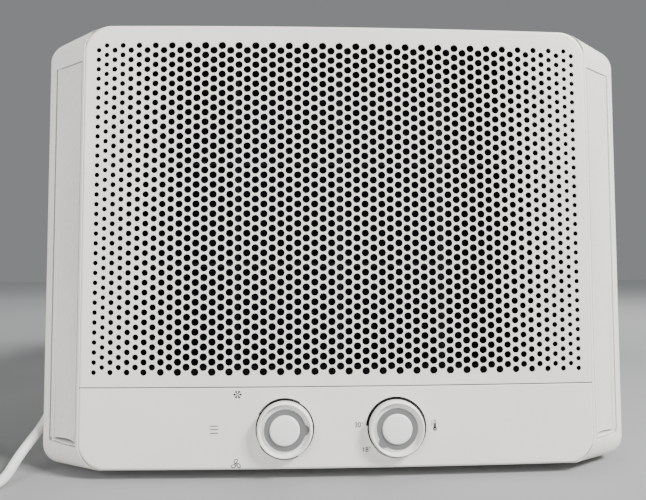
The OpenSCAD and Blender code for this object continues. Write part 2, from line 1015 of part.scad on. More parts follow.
module strain_relief() {
    color([0.9, 0.9, 0.9])
    difference() {
        union() {
            block(-247, -cab_w / 2 - 0.1, 90, 112, 52, 76);
            translate([-cab_w / 2 - 1, y_at(100), 64])
                rotate([0, 90, 0])
                    cylinder(r = 5.9, h = 8);
            translate([-257, y_at(112), 64])
                rotate([90, 0, 0])
                    cylinder(r1 = 11, r2 = 9, h = 8);
            block(-257, -247, 101, 112, 54, 74);
            translate([-257, y_at(104), 64])
                rotate([90, 0, 0])
                    cylinder(r1 = 9, r2 = 5.2, h = 16);
        }
        translate([-cab_w / 2, y_at(100), 64])
            rotate([0, 90, 0])
                cylinder(r = 3.6, h = 12);
    }
}

function unit(v) = v / norm(v);
function tangent(p, i) = unit(p[min(i + 1, len(p) - 1)] - p[max(i - 1, 0)]);
// Points between the route's points, on a smooth curve through them
function spline(p, i, t) = let(a = p[max(i - 1, 0)], b = p[i], c = p[i + 1],
    d = p[min(i + 2, len(p) - 1)])
    0.5 * (2 * b + (c - a) * t + (2 * a - 5 * b + 4 * c - d) * t * t
        + (3 * b - a - 3 * c + d) * t * t * t);
function smooth(p, n) = concat([for (i = [0:len(p) - 2], k = [0:n - 1]) spline(p, i, k / n)],
    [p[len(p) - 1]]);

// A round tube swept along points
module tube(points, r, sides) {
    rings = [for (i = [0:len(points) - 1])
        let(t = tangent(points, i), u = unit(cross(t, [0.1, 0.2, 1])), v = cross(t, u))
        [for (k = [0:sides - 1]) points[i] + r * (u * cos(360 * k / sides)
            + v * sin(360 * k / sides))]];
    last = (len(points) - 1) * sides;
    polyhedron(
        points = [for (ring = rings, q = ring) q],
        faces = concat([[for (k = [0:sides - 1]) k]],
            [for (i = [0:len(points) - 2], k = [0:sides - 1])
                let(a = i * sides, n = (k + 1) % sides)
                [a + k, a + sides + k, a + sides + n, a + n]],
            [[for (k = [sides - 1:-1:0]) last + k]]));
}

module power_cord() {
    color([0.9, 0.9, 0.88])
    tube(route, cord_r, 10);
    color([0.9, 0.9, 0.88])
    tube(tail, cord_r, 10);
}

module cord_coil() {
    color([0.9, 0.9, 0.88])
    translate([coil_x, coil_y, 0])
        rotate_extrude()
            translate([coil_r - cord_dia, coil_lift])
                square([2 * cord_dia, 2 * cord_dia]);
}

module cord_tie() {
    color([0.2, 0.2, 0.2])
    translate([coil_x, coil_y + coil_r, cord_dia + coil_lift])
        rotate([0, 90, 0])
            translate([0, 0, -4])
                linear_extrude(8)
                    difference() {
                        square(2 * cord_dia + 2 * coil_lift, center = true);
                        square(2 * cord_dia + 0.2, center = true);
                    }
}

// The plug lies behind the coil, its three round pins pointing away from the room
module plug_body() {
    color([0.9, 0.9, 0.88])
    difference() {
        union() {
            translate([plug_x, plug_y, 1])
                linear_extrude(2 * plug_z - 2)
                    polygon([[-6, 0], [6, 0], [9, 8], [12, 18], [18, 24], [18, 44], [-18, 44],
                        [-18, 24], [-12, 18], [-9, 8]]);
            translate([plug_x, plug_y, 0])
                linear_extrude(2 * plug_z)
                    polygon([[-4.5, 2], [4.5, 2], [9, 18], [15, 25], [15, 43], [-15, 43],
                        [-15, 25], [-9, 18]]);
        }
        translate([plug_x, plug_y - 1, plug_z])
            rotate([-90, 0, 0])
                cylinder(r = cord_r, h = 3);
    }
}

module plug_pins() {
    color("silver")
    for (k = [-1:1])
        translate([plug_x + k * 9.5, plug_y + 44, plug_z + (k == 0 ? 3 : 0)])
            rotate([-90, 0, 0])
                cylinder(r = 2, h = 19);
}

base_pan();
cabinet();
rear_guard();
front_frame();
front_grille();
control_panel();
left_flap();
right_flap();
mode_dial();
mode_dial_ring();
temperature_dial();
temperature_dial_ring();
mode_switch();
mode_shaft();
thermostat();
thermostat_shaft();
sensing_bulb();
control_bracket();
run_capacitor();
air_seal();
filter_frame();
filter_mesh();
evaporator_fins();
evaporator_plates();
evaporator_bends();
drain_tray();
left_duct_wall();
right_duct_wall();
blower_housing();
blower_wheel();
bulkhead();
fan_motor();
motor_bracket();
motor_shaft();
condenser_fan();
condenser_shroud();
condenser_fins();
condenser_plates();
condenser_bends();
compressor();
compressor_feet();
compressor_nuts();
terminal_cover();
accumulator();
refrigerant_pipes();
filter_drier();
drain_spout();
cabinet_screws();
guard_screws();
bracket_screws();
strain_relief();
power_cord();
cord_coil();
cord_tie();
plug_body();
plug_pins();
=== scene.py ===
import json
import math
import bmesh
import bpy
from mathutils import Matrix, Vector, geometry


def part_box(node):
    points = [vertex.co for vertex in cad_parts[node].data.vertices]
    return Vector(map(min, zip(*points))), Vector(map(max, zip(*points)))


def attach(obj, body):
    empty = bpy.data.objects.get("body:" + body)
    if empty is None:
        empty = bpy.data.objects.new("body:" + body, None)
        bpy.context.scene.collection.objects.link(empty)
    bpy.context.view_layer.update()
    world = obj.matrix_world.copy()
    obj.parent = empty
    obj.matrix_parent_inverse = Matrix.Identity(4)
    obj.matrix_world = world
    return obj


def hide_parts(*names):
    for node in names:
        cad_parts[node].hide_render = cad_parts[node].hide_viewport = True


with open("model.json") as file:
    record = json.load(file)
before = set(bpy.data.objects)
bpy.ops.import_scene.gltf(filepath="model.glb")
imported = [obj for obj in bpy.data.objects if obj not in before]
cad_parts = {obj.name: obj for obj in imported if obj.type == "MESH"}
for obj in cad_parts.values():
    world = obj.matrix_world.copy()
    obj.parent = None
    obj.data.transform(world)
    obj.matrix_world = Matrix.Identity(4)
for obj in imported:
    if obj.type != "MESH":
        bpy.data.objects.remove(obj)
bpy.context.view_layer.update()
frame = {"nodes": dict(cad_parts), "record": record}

# ---------- measures taken from the frame (metres) ----------

MM = 0.001
grille_lo, grille_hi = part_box("front_grille")
strip_lo, strip_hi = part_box("control_panel")
FRONT_Y = grille_lo.y                      # the face's foremost line
HALF_FACE = grille_hi.x
FACE_LO, FACE_HI = strip_lo.z, grille_hi.z
HOLES_Z = FACE_LO + 212 * MM               # middle of the perforated field
SAG = 4.4 * MM                             # the face falls back this far at its sides
FACE_R = 21 * MM
WALL = 2.5 * MM
frame_lo, frame_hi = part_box("front_frame")
HALF_FRONT = frame_hi.x


def sag(x):
    """How far the gently bowed face lies behind its middle at x."""
    return SAG * (x / HALF_FACE) ** 2


# ---------- camera ----------

CAMERA_SIDE, CAMERA_BACK, CAMERA_DROP = -29.7 * MM, 424.3 * MM, 55.6 * MM
CAMERA_TURNS = (92.67, 0.17, -2.11)        # degrees about X, Y and Z
SENSOR_MM, LENS_MM = 36, 28.98
camera_data = bpy.data.cameras.new("camera")
camera_data.sensor_width = SENSOR_MM
camera_data.lens = LENS_MM
camera = bpy.data.objects.new("camera", camera_data)
camera.location = (CAMERA_SIDE, FRONT_Y - CAMERA_BACK, HOLES_Z - CAMERA_DROP)
camera.rotation_euler = [math.radians(turn) for turn in CAMERA_TURNS]
bpy.context.scene.collection.objects.link(camera)
bpy.context.scene.camera = camera


# ---------- mesh helpers ----------

QUARTERS = ((1, 1), (-1, 1), (-1, -1), (1, -1))       # corners, anticlockwise from the upper right


def rounded_loop(u0, u1, v0, v1, r, steps):
    """A rectangle with round corners, as (u, v) points."""
    points = []
    for quarter, (su, sv) in enumerate(QUARTERS):
        cu = u1 - r if su > 0 else u0 + r
        cv = v1 - r if sv > 0 else v0 + r
        for k in range(steps + 1):
            a = math.pi / 2 * (quarter + k / steps)
            points.append((cu + r * math.cos(a), cv + r * math.sin(a)))
    return points


def new_object(name, bm, smooth_angle=35):
    """Turns a bmesh into an object whose edges above smooth_angle stay sharp."""
    mesh = bpy.data.meshes.new(name)
    bmesh.ops.recalc_face_normals(bm, faces=bm.faces)
    for edge in bm.edges:
        if len(edge.link_faces) == 2:
            edge.smooth = edge.calc_face_angle(0) < math.radians(smooth_angle)
    for face in bm.faces:
        face.smooth = True
    bm.to_mesh(mesh)
    bm.free()
    obj = bpy.data.objects.new(name, mesh)
    bpy.context.scene.collection.objects.link(obj)
    return obj


def loft(bm, rings, closed=False):
    """Joins rings of equal length with quads; closed also joins the last to the first."""
    loops = [[bm.verts.new(p) for p in ring] for ring in rings]
    pairs = list(zip(loops, loops[1:]))
    if closed:
        pairs.append((loops[-1], loops[0]))
    for a, b in pairs:
        n = len(a)
        for k in range(n):
            bm.faces.new((a[k], a[(k + 1) % n], b[(k + 1) % n], b[k]))
    return loops


def lathe(profile, segments=96):
    """A turned solid: profile is (radius, height) points, on the Z axis."""
    bm = bmesh.new()
    verts = [bm.verts.new((r, 0, h)) for r, h in profile]
    edges = [bm.edges.new((a, b)) for a, b in zip(verts, verts[1:])]
    bmesh.ops.spin(bm, geom=verts + edges, axis=(0, 0, 1), cent=(0, 0, 0), steps=segments,
                   angle=math.tau, use_merge=True)
    bmesh.ops.remove_doubles(bm, verts=bm.verts, dist=1e-7)
    return bm


def place(obj, matrix):
    """Moves the mesh itself, so the object stays at the origin."""
    obj.data.transform(matrix)
    return obj


def apply_modifiers(obj):
    """Turns what the modifiers make into the object's own mesh."""
    depsgraph = bpy.context.evaluated_depsgraph_get()
    mesh = bpy.data.meshes.new_from_object(obj.evaluated_get(depsgraph))
    obj.modifiers.clear()
    obj.data = mesh
    return obj


def cut(obj, *cutters):
    """Cuts away the cutters, which are then removed."""
    for cutter in cutters:
        mod = obj.modifiers.new("cut", "BOOLEAN")
        mod.operation = "DIFFERENCE"
        mod.solver = "EXACT"
        mod.object = cutter
    apply_modifiers(obj)
    for cutter in cutters:
        bpy.data.objects.remove(cutter)
    return obj


def bevel(obj, width, segments=2, angle=40):
    mod = obj.modifiers.new("bevel", "BEVEL")
    mod.width = width
    mod.segments = segments
    mod.limit_method = "ANGLE"
    mod.angle_limit = math.radians(angle)
    mod.harden_normals = False
    return apply_modifiers(obj)


def shade(obj, angle=35):
    """Smooth shading with edges above the angle left sharp."""
    bm = bmesh.new()
    bm.from_mesh(obj.data)
    for edge in bm.edges:
        if len(edge.link_faces) == 2:
            edge.smooth = edge.calc_face_angle(0) < math.radians(angle)
    for face in bm.faces:
        face.smooth = True
    bm.to_mesh(obj.data)
    bm.free()
    return obj


def prism(name, corners, depth_vector):
    """A closed prism: a flat loop of points pushed along depth_vector."""
    bm = bmesh.new()
    base = [bm.verts.new(p) for p in corners]
    top = [bm.verts.new(Vector(p) + Vector(depth_vector)) for p in corners]
    bm.faces.new(base)
    bm.faces.new(list(reversed(top)))
    n = len(corners)
    for k in range(n):
        bm.faces.new((base[k], base[(k + 1) % n], top[(k + 1) % n], top[k]))
    return new_object(name, bm)


# ---------- materials ----------

class Look:
    """A small builder for node materials on one Principled shader."""

    def __init__(self, name, **sockets):
        self.mat = bpy.data.materials.new(name)
        self.mat.use_nodes = True
        self.nodes = self.mat.node_tree.nodes
        self.links = self.mat.node_tree.links
        self.shader = self.nodes["Principled BSDF"]
        for socket, value in sockets.items():
            self.shader.inputs[socket.replace("_", " ")].default_value = value
        self.coords = self.nodes.new("ShaderNodeTexCoord").outputs["Object"]

    def noise(self, scale, detail=3, roughness=0.5, stretch=None):
        node = self.nodes.new("ShaderNodeTexNoise")
        node.inputs["Scale"].default_value = scale
        node.inputs["Detail"].default_value = detail
        node.inputs["Roughness"].default_value = roughness
        source = self.coords
        if stretch:
            mapping = self.nodes.new("ShaderNodeMapping")
            mapping.inputs["Scale"].default_value = stretch
            self.links.new(self.coords, mapping.inputs["Vector"])
            source = mapping.outputs["Vector"]
        self.links.new(source, node.inputs["Vector"])
        return node.outputs["Fac"]

    def ramp(self, factor, stops):
        node = self.nodes.new("ShaderNodeValToRGB")
        ramp = node.color_ramp
        while len(ramp.elements) < len(stops):
            ramp.elements.new(0.5)
        for element, (position, colour) in zip(ramp.elements, stops):
            element.position = position
            element.color = (*colour, 1)
        self.links.new(factor, node.inputs["Fac"])
        return node.outputs["Color"]

    def remap(self, factor, low, high):
        node = self.nodes.new("ShaderNodeMapRange")
        node.inputs["To Min"].default_value = low
        node.inputs["To Max"].default_value = high
        self.links.new(factor, node.inputs["Value"])
        return node.outputs["Result"]

    def colour(self, output):
        self.links.new(output, self.shader.inputs["Base Color"])
        return self

    def rough(self, factor, low, high):
        self.links.new(self.remap(factor, low, high), self.shader.inputs["Roughness"])
        return self

    def bump(self, height, strength, distance):
        node = self.nodes.new("ShaderNodeBump")
        node.inputs["Strength"].default_value = strength
        node.inputs["Distance"].default_value = distance
        self.links.new(height, node.inputs["Height"])
        self.links.new(node.outputs["Normal"], self.shader.inputs["Normal"])
        return self


def shades(colour, spread):
    """A darker and a lighter version of a colour."""
    return (tuple(c * (1 - spread) for c in colour),
            tuple(min(1, c * (1 + spread)) for c in colour))


def moulded(name, colour, roughness=0.4, grain=1800, spread=0.03, strength=0.12, shine=0.5):
    """Moulded plastic: a fine grain, cloudy gloss and the faintest mottling."""
    look = Look(name, Specular_IOR_Level=shine)
    dark, light = shades(colour, spread)
    look.colour(look.ramp(look.noise(14, 4), [(0.3, dark), (0.7, light)]))
    look.rough(look.noise(60, 5), roughness - 0.05, roughness + 0.07)
    look.bump(look.noise(grain, 2), strength, 0.0001)
    return look.mat


def painted(name, colour, roughness=0.45):
    """Powder-coated sheet metal: orange peel and slight cloudiness."""
    look = Look(name, Coat_Weight=0.15)
    dark, light = shades(colour, 0.03)
    look.colour(look.ramp(look.noise(7, 5), [(0.3, dark), (0.7, light)]))
    look.rough(look.noise(40, 4), roughness - 0.06, roughness + 0.08)
    look.bump(look.noise(700, 3), 0.25, 0.0001)
    return look.mat


def metal(name, colour, roughness=0.35, stretch=(1, 1, 30), scale=60):
    """Drawn or rolled metal with fine streaks."""
    look = Look(name, Metallic=1.0)
    dark, light = shades(colour, 0.12)
    streaks = look.noise(scale, 5, stretch=stretch)
    look.colour(look.ramp(streaks, [(0.25, dark), (0.75, light)]))
    look.rough(streaks, roughness - 0.08, roughness + 0.12)
    look.bump(streaks, 0.1, 0.0001)
    return look.mat


MATERIALS = {
    "front_plastic": moulded("front_plastic", (0.765, 0.75, 0.70), 0.34),
    "flap_plastic": moulded("flap_plastic", (0.73, 0.715, 0.68), 0.26, strength=0.05),
    "dial_plastic": moulded("dial_plastic", (0.8, 0.79, 0.765), 0.3, strength=0.05),
    "dial_grey": moulded("dial_grey", (0.15, 0.155, 0.15), 0.45),
    "case_paint": painted("case_paint", (0.62, 0.615, 0.59)),
    "galvanised": metal("galvanised", (0.62, 0.63, 0.64), 0.42, (1, 1, 1), 90),
    "screw_steel": metal("screw_steel", (0.6, 0.6, 0.6), 0.3),
    "shaft_steel": metal("shaft_steel", (0.55, 0.55, 0.56), 0.25),
    "black_plastic": moulded("black_plastic", (0.006, 0.006, 0.007), 0.6, shine=0.12),
    "white_foam": moulded("white_foam", (0.75, 0.75, 0.73), 0.7, 500, strength=0.5),
    "filter_net": moulded("filter_net", (0.003, 0.003, 0.0035), 0.9, 900, strength=0.3, shine=0.05),
    "fin_aluminium": metal("fin_aluminium", (0.75, 0.76, 0.77), 0.3, (60, 1, 1), 40),
    "copper": metal("copper", (0.75, 0.36, 0.2), 0.3, (1, 1, 1), 60),
    "motor_grey": painted("motor_grey", (0.09, 0.095, 0.1), 0.4),
    "compressor_black": painted("compressor_black", (0.012, 0.012, 0.013), 0.3),
    "rubber": moulded("rubber", (0.006, 0.006, 0.006), 0.8, 600, strength=0.3, shine=0.1),
    "cord_white": moulded("cord_white", (0.72, 0.715, 0.69), 0.5, 1200),
    "pin_metal": metal("pin_metal", (0.72, 0.68, 0.58), 0.22),
}


def dress(obj, slot, body="chassis", *nodes):
    """Gives a piece the material named by slot, puts it under its body and hides the CAD nodes it
    stands for.
    """
    obj.data.materials.clear()
    obj.data.materials.append(MATERIALS[slot])
    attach(obj, body)
    if nodes:
        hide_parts(*nodes)
    return obj


for part in frame["record"]["subparts"]:
    node = frame["nodes"][part["node"]]
    node.data.materials.clear()
    node.data.materials.append(MATERIALS[part["material_slot"]])


# ---------- power cord ----------

CORD_R = 4 * MM
COIL = Vector((-350 * MM, -246 * MM, 0))
LOW_TURN, HIGH_TURN = 5.2 * MM, 13.2 * MM
OUTER_TURN, INNER_TURN = 48 * MM, 40 * MM
# The same points as the part's own cord, in millimetres
ROUTE = [(-257, -168, 64), (-257, -176, 62), (-256, -186, 56), (-256, -196, 47),
         (-257, -205, 38), (-259, -215, 30), (-262, -224, 23), (-264, -233, 17),
         (-265, -242, 11), (-265, -250, 6.5), (-265, -258, 4.5), (-266, -267, 4),
         (-270, -277, 4), (-277, -286, 4), (-287, -292, 4), (-298, -294, 4),
         (-310, -294, 4), (-321, -294, 4.5), (-332, -294, 5)]
TAIL = [(-398, -226, 13), (-398, -217, 12.5), (-398, -208, 11), (-398, -199, 10)]
TURNS = 4.25
POINTS_PER_TURN = 24


def ease(t):
    t = max(0.0, min(1.0, t))
    return t * t * (3 - 2 * t)


def coil_points():
    """Two turns below, two above: inwards along the bottom, up, and outwards again."""
    points = []
    count = round(TURNS * POINTS_PER_TURN)
    for i in range(1, count):
        turn = TURNS * i / count
        angle = -math.pi / 2 - math.tau * turn
        inward = ease((turn - 0.8) / 0.4) - ease((turn - 2.8) / 0.4)
        rise = ease((turn - 1.8) / 0.4)
        radius = OUTER_TURN + (INNER_TURN - OUTER_TURN) * inward
        height = LOW_TURN + (HIGH_TURN - LOW_TURN) * rise
        points.append(COIL + Vector((radius * math.cos(angle), radius * math.sin(angle), height)))
    return points


def cord_curve():
    points = [Vector(p) * MM for p in ROUTE] + coil_points() + [Vector(p) * MM for p in TAIL]
    curve = bpy.data.curves.new("power_cord_sheath", "CURVE")
    curve.dimensions = "3D"
    curve.bevel_depth = CORD_R
    curve.bevel_resolution = 6
    curve.use_fill_caps = True
    spline = curve.splines.new("NURBS")
    spline.points.add(len(points) - 1)
    for spot, p in zip(spline.points, points):
        spot.co = (*p, 1)
    spline.order_u = 3
    spline.use_endpoint_u = True
    spline.resolution_u = 4
    obj = bpy.data.objects.new("power_cord_sheath", curve)
    bpy.context.scene.collection.objects.link(obj)
    length = sum((b - a).length for a, b in zip(points, points[1:]))
    return dress(obj, "cord_white", "chassis", "power_cord", "cord_coil"), length


cord, cord_length = cord_curve()
print("cord length", round(cord_length, 4))



# ---------- front panels ----------

COLUMN_PITCH, ROW_PITCH = 6.928 * MM, 8 * MM
HALF_COLUMNS, ROWS = 29, 34
EVEN_TOP, ODD_TOP = 138, 134               # top of a column above the field's middle, in mm
SQUEEZE, SQUEEZE_X = 2.16 * MM, 0.2        # how far a column at this distance moves inwards
OUTER_HOLE, HOLE_STEP, WIDEST_HOLE = 2.02, 0.21, 3.16      # radii in mm
HOLE_SIDES = 20
CHAMFER, DRAFT, PLATE = 0.12 * MM, 0.25 * MM, 1.2 * MM
SEAM_EDGE, OUTER_EDGE, TOP_EDGE, LOW_EDGE = 0.5 * MM, 3.4 * MM, 2.6 * MM, 3.0 * MM
WING_TURN = math.radians(34)
ARC_STEPS, EDGE_STEPS = 14, 6
SIDE_STEP = 7.5 * MM                       # about how far apart points lie on a straight side


def hole_x(i):
    """Column i's place; the columns draw together slightly at the sides."""
    return COLUMN_PITCH * i - math.copysign(SQUEEZE * abs(i * COLUMN_PITCH / SQUEEZE_X) ** 5, i)


def hole_radius(i):
    """The holes grow from the sides inwards, a step every second column."""
    return min(WIDEST_HOLE, OUTER_HOLE + HOLE_STEP * ((HALF_COLUMNS - abs(i)) // 2)) * MM


def column_top(i):
    """Upper end of column i's stack of cells; odd columns sit half a pitch lower."""
    return HOLES_Z + (EVEN_TOP if i % 2 == 0 else ODD_TOP) * MM


def column_edge(i):
    """Line between column i - 1 and column i."""
    if i == -HALF_COLUMNS or i == HALF_COLUMNS + 1:
        return math.copysign(hole_x(HALF_COLUMNS) + COLUMN_PITCH / 2, i)
    return (hole_x(i - 1) + hole_x(i)) / 2


class Sheet:
    """Gathers a panel's points: each has a place on the face and a depth behind it."""

    def __init__(self):
        self.points, self.faces, self.known = [], [], {}

    def point(self, x, z, depth, share=False):
        key = (round(x * 1e6), round(z * 1e6), round(depth * 1e6))
        if share and key in self.known:
            return self.known[key]
        self.points.append((x, FRONT_Y + sag(x) + depth, z))
        self.known[key] = len(self.points) - 1
        return len(self.points) - 1

    def band(self, a, b):
        """Quads between two closed rings of the same length."""
        n = len(a)
        self.faces += [(a[k], a[(k + 1) % n], b[(k + 1) % n], b[k]) for k in range(n)]

    def between(self, outer, ring, angles_outer, angles_ring):
        """Triangles between a coarse ring and a fine one round the same centre."""
        i, k, n, m = 0, 0, len(outer), len(ring)
        while i < n or k < m:
            next_outer = angles_outer[i + 1] if i < n else math.inf
            next_ring = angles_ring[k + 1] if k < m else math.inf
            if next_outer <= next_ring:
                self.faces.append((outer[i % n], outer[(i + 1) % n], ring[k % m]))
                i += 1
            else:
                self.faces.append((outer[i % n], ring[(k + 1) % m], ring[k % m]))
                k += 1

    def object(self, name):
        mesh = bpy.data.meshes.new(name)
        mesh.from_pydata(self.points, [], self.faces)
        bm = bmesh.new()
        bm.from_mesh(mesh)
        bmesh.ops.recalc_face_normals(bm, faces=bm.faces)
        bm.to_mesh(mesh)
        bm.free()
        obj = bpy.data.objects.new(name, mesh)
        bpy.context.scene.collection.objects.link(obj)
        shade(obj, 30)
        keep = obj.modifiers.new("flat", "WEIGHTED_NORMAL")
        keep.keep_sharp = True
        return obj


def hole_cells(sheet):
    """Every hole with its six-cornered cell, on the front and the back of the panel."""
    for i in range(-HALF_COLUMNS, HALF_COLUMNS + 1):
        left, right, cx, r = column_edge(i), column_edge(i + 1), hole_x(i), hole_radius(i)
        for row in range(ROWS):
            cz = column_top(i) - (row + 0.5) * ROW_PITCH
            h = ROW_PITCH / 2
            corners = [(right, cz), (right, cz + h), (left, cz + h), (left, cz), (left, cz - h),
                       (right, cz - h)]
            corner_angles = [math.atan2(z - cz, x - cx) % math.tau for x, z in corners]
            corner_angles.append(corner_angles[0] + math.tau)
            turn = [math.tau * k / HOLE_SIDES for k in range(HOLE_SIDES + 1)]
            rings = []
            for radius, depth in ((r + CHAMFER, 0), (r, CHAMFER), (r + DRAFT, PLATE)):
                rings.append([sheet.point(cx + radius * math.cos(a), cz + radius * math.sin(a),
                                          depth) for a in turn[:-1]])
            front = [sheet.point(x, z, 0, share=True) for x, z in corners]
            back = [sheet.point(x, z, PLATE, share=True) for x, z in corners]
            sheet.between(front, rings[0], corner_angles, turn)
            sheet.band(rings[0], rings[1])
            sheet.band(rings[1], rings[2])
            sheet.between(back, rings[2], corner_angles, turn)


def field_loop():
    """The stepped line round all the cells."""
    top, bottom = [], []
    for i in range(-HALF_COLUMNS, HALF_COLUMNS + 1):
        height = column_top(i)
        for x in (column_edge(i), column_edge(i + 1)):
            top.append((x, height))
            bottom.append((x, height - ROWS * ROW_PITCH))
    side_z = [column_top(HALF_COLUMNS) - k * ROW_PITCH / 2 for k in range(1, 2 * ROWS)]
    right = [(column_edge(HALF_COLUMNS + 1), z) for z in side_z]
    left = [(column_edge(-HALF_COLUMNS), z) for z in reversed(side_z)]
    return top + right + bottom[::-1] + left


def in_field(x, z):
    for i in range(-HALF_COLUMNS, HALF_COLUMNS + 1):
        if column_edge(i) < x < column_edge(i + 1):
            return column_top(i) - ROWS * ROW_PITCH < z < column_top(i)
    return False


def tray_loop(z_lo, z_hi, r_lo, r_hi, edge_lo, edge_hi):
    """Outline of a panel: (x, z, normal x, normal z, edge radius, how far the edge turns)."""
    loop = []
    corners = [(1, 1, r_hi, edge_hi), (-1, 1, r_hi, edge_hi), (-1, -1, r_lo, edge_lo),
               (1, -1, r_lo, edge_lo)]
    for quarter, (sx, sz, r, edge) in enumerate(corners):
        cx = sx * (HALF_FACE - r)
        cz = z_hi - r if sz > 0 else z_lo + r
        for k in range(ARC_STEPS + 1):
            a = math.pi / 2 * (quarter + k / ARC_STEPS)
            nx, nz = math.cos(a), math.sin(a)
            level = ease(abs(nz))
            loop.append((cx + r * nx, cz + r * nz, nx, nz, OUTER_EDGE + (edge - OUTER_EDGE) * level,
                         WING_TURN + (math.pi / 2 - WING_TURN) * level))
        ex, ez = loop[-1][:2]
        nsx, nsz, next_r, _ = corners[(quarter + 1) % 4]
        gx = nsx * (HALF_FACE - (next_r if quarter % 2 == 0 else 0))
        gz = (z_hi if nsz > 0 else z_lo) - nsz * (next_r if quarter % 2 else 0)
        steps = max(2, round(math.hypot(gx - ex, gz - ez) / SIDE_STEP))
        for k in range(1, steps):
            t = k / steps
            loop.append((ex + (gx - ex) * t, ez + (gz - ez) * t, *loop[-1][2:]))
    return loop


def tray(name, loop, depth, with_holes=False):
    """A panel with rounded edges, sides running back by depth, and an open back."""
    sheet = Sheet()
    if with_holes:
        hole_cells(sheet)
    rings = []
    for step in range(EDGE_STEPS + 1):
        ring = []
        for x, z, nx, nz, edge, turn in loop:
            a = turn * step / EDGE_STEPS
            inset = edge * (math.sin(turn) - math.sin(a))
            ring.append(sheet.point(x - nx * inset, z - nz * inset, edge * (1 - math.cos(a))))
        rings.append(ring)
    first = rings[0]
    inner = [(x - nx * WALL, z - nz * WALL) for x, z, nx, nz, *_ in loop]
    rings.append([sheet.point(x, z, depth - sag(x)) for x, z, *_ in loop])
    rings.append([sheet.point(x, z, depth - sag(x)) for x, z in inner])
    back_ring = [sheet.point(x, z, PLATE) for x, z in inner]
    rings.append(back_ring)
    for a, b in zip(rings, rings[1:]):
        sheet.band(a, b)

    spots = [(sheet.points[k][0], sheet.points[k][2]) for k in first]
    field = field_loop() if with_holes else []
    count = len(spots)
    edges = [(k, (k + 1) % count) for k in range(count)]
    edges += [(count + k, count + (k + 1) % len(field)) for k in range(len(field))]
    verts, _, triangles, *_ = geometry.delaunay_2d_cdt([Vector(p) for p in spots + field], edges,
                                                       [list(range(count))], 1, 1e-7)
    for triangle in triangles:
        corners = [verts[k] for k in triangle]
        middle = sum(corners, Vector((0, 0))) / len(corners)
        if with_holes and in_field(*middle):
            continue
        front, back = [], []
        for k, (x, z) in zip(triangle, corners):
            front.append(first[k] if k < count else sheet.point(x, z, 0, share=True))
            back.append(back_ring[k] if k < count else sheet.point(x, z, PLATE, share=True))
        sheet.faces += [tuple(front), tuple(reversed(back))]
    return sheet.object(name)


GRILLE_LO = grille_lo.z
STRIP_HI = strip_hi.z
GRILLE_DEPTH, STRIP_DEPTH = 13 * MM, 15.6 * MM
SEAM_R = 0.9 * MM                          # corners where the grille meets the control strip


def front_panels():
    grille = tray_loop(GRILLE_LO, FACE_HI, SEAM_R, FACE_R, SEAM_EDGE, TOP_EDGE)
    dress(tray("grille_panel", grille, GRILLE_DEPTH, True), "front_plastic", "grille",
          "front_grille")
    strip = tray_loop(FACE_LO, STRIP_HI, FACE_R, SEAM_R, LOW_EDGE, SEAM_EDGE)
    dress(tray("control_strip", strip, STRIP_DEPTH), "front_plastic", "chassis", "control_panel")


front_panels()


# ---------- front frame with its slanted wings ----------

FRAME_D, RIM_D, FOOT_D, SKIRT_D = 5 * MM, 34.5 * MM, 50 * MM, 75 * MM
RIM_R, RIM_ROUND = 16 * MM, 4.5 * MM
FOOT_LO = frame_lo.z
RIM_LO, RIM_HI = FOOT_LO + 5 * MM, FOOT_LO + 366 * MM
WING_X, WING_D = HALF_FACE + 0.9 * MM, SAG + 0.6 * MM
WINDOW_LO, WINDOW_HI = HOLES_Z - 194 * MM, HOLES_Z + 122 * MM
WINDOW_S0, WINDOW_S1 = 2.6 * MM, 39.2 * MM
POCKET_D, PANEL_GAP, TOP_GAP = 16 * MM, 0.2 * MM, 0.4 * MM
SWING_Z, SWING_R = 330 * MM, 17 * MM       # eased upper corners, where the grille swings up
RAIL_X, RAIL_HALF = 184 * MM, 3 * MM
FRAME_DEPTHS = (5, 5.6, 10, 15, 20, 25, 28, 30, 31, 31.6, 32.2, 32.9, 33.6, 34.5, 35.5, 43, 50,
                62, 74)                    # of the outer skin's rings, in mm
cabinet_lo, cabinet_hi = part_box("cabinet")


def mix(a, b, t):
    return a + (b - a) * t


def frame_ring(d, inset=0.0):
    """The frame's outline at depth d: (half width, bottom, top, corner radius)."""
    t = max(0.0, min(1.0, (d - FRAME_D) / (RIM_D - FRAME_D)))
    meet_d = FRAME_D + (HALF_FRONT - WING_X) * math.tan(WING_TURN)
    tangent = RIM_ROUND * math.tan((math.pi / 2 - WING_TURN) / 2)
    if d <= meet_d - tangent * math.sin(WING_TURN):
        half = WING_X + (d - FRAME_D) / math.tan(WING_TURN)
    elif d < meet_d + tangent:
        half = HALF_FRONT - RIM_ROUND + math.sqrt(RIM_ROUND ** 2 - (meet_d + tangent - d) ** 2)
    else:
        half = HALF_FRONT
    deep = max(0.0, min(1.0, (d - RIM_D) / (FOOT_D - RIM_D)))
    low = mix(mix(FACE_LO, RIM_LO, t), FOOT_LO, deep)
    high = mix(FACE_HI, RIM_HI, t)
    return half - inset, low + inset, high - inset, mix(FACE_R, RIM_R, t) - inset


def ring_points(d, half, low, high, radius):
    """A rounded rectangle at depth d, as a loop of points in the frame's own axes."""
    return [(x, FRONT_Y + d, z) for x, z in rounded_loop(-half, half, low, high, radius, 16)]


def solid_loft(name, rings):
    bm = bmesh.new()
    loops = loft(bm, rings)
    bm.faces.new(loops[0])
    bm.faces.new(loops[-1])
    return new_object(name, bm, 30)


def on_wing(side, s, n, z):
    """A point s along the wing's slope and n out of it."""
    along, across = math.cos(WING_TURN), math.sin(WING_TURN)
    x = WING_X + s * along + n * across
    return Vector((side * x, FRONT_Y + WING_D + s * across - n * along, z))


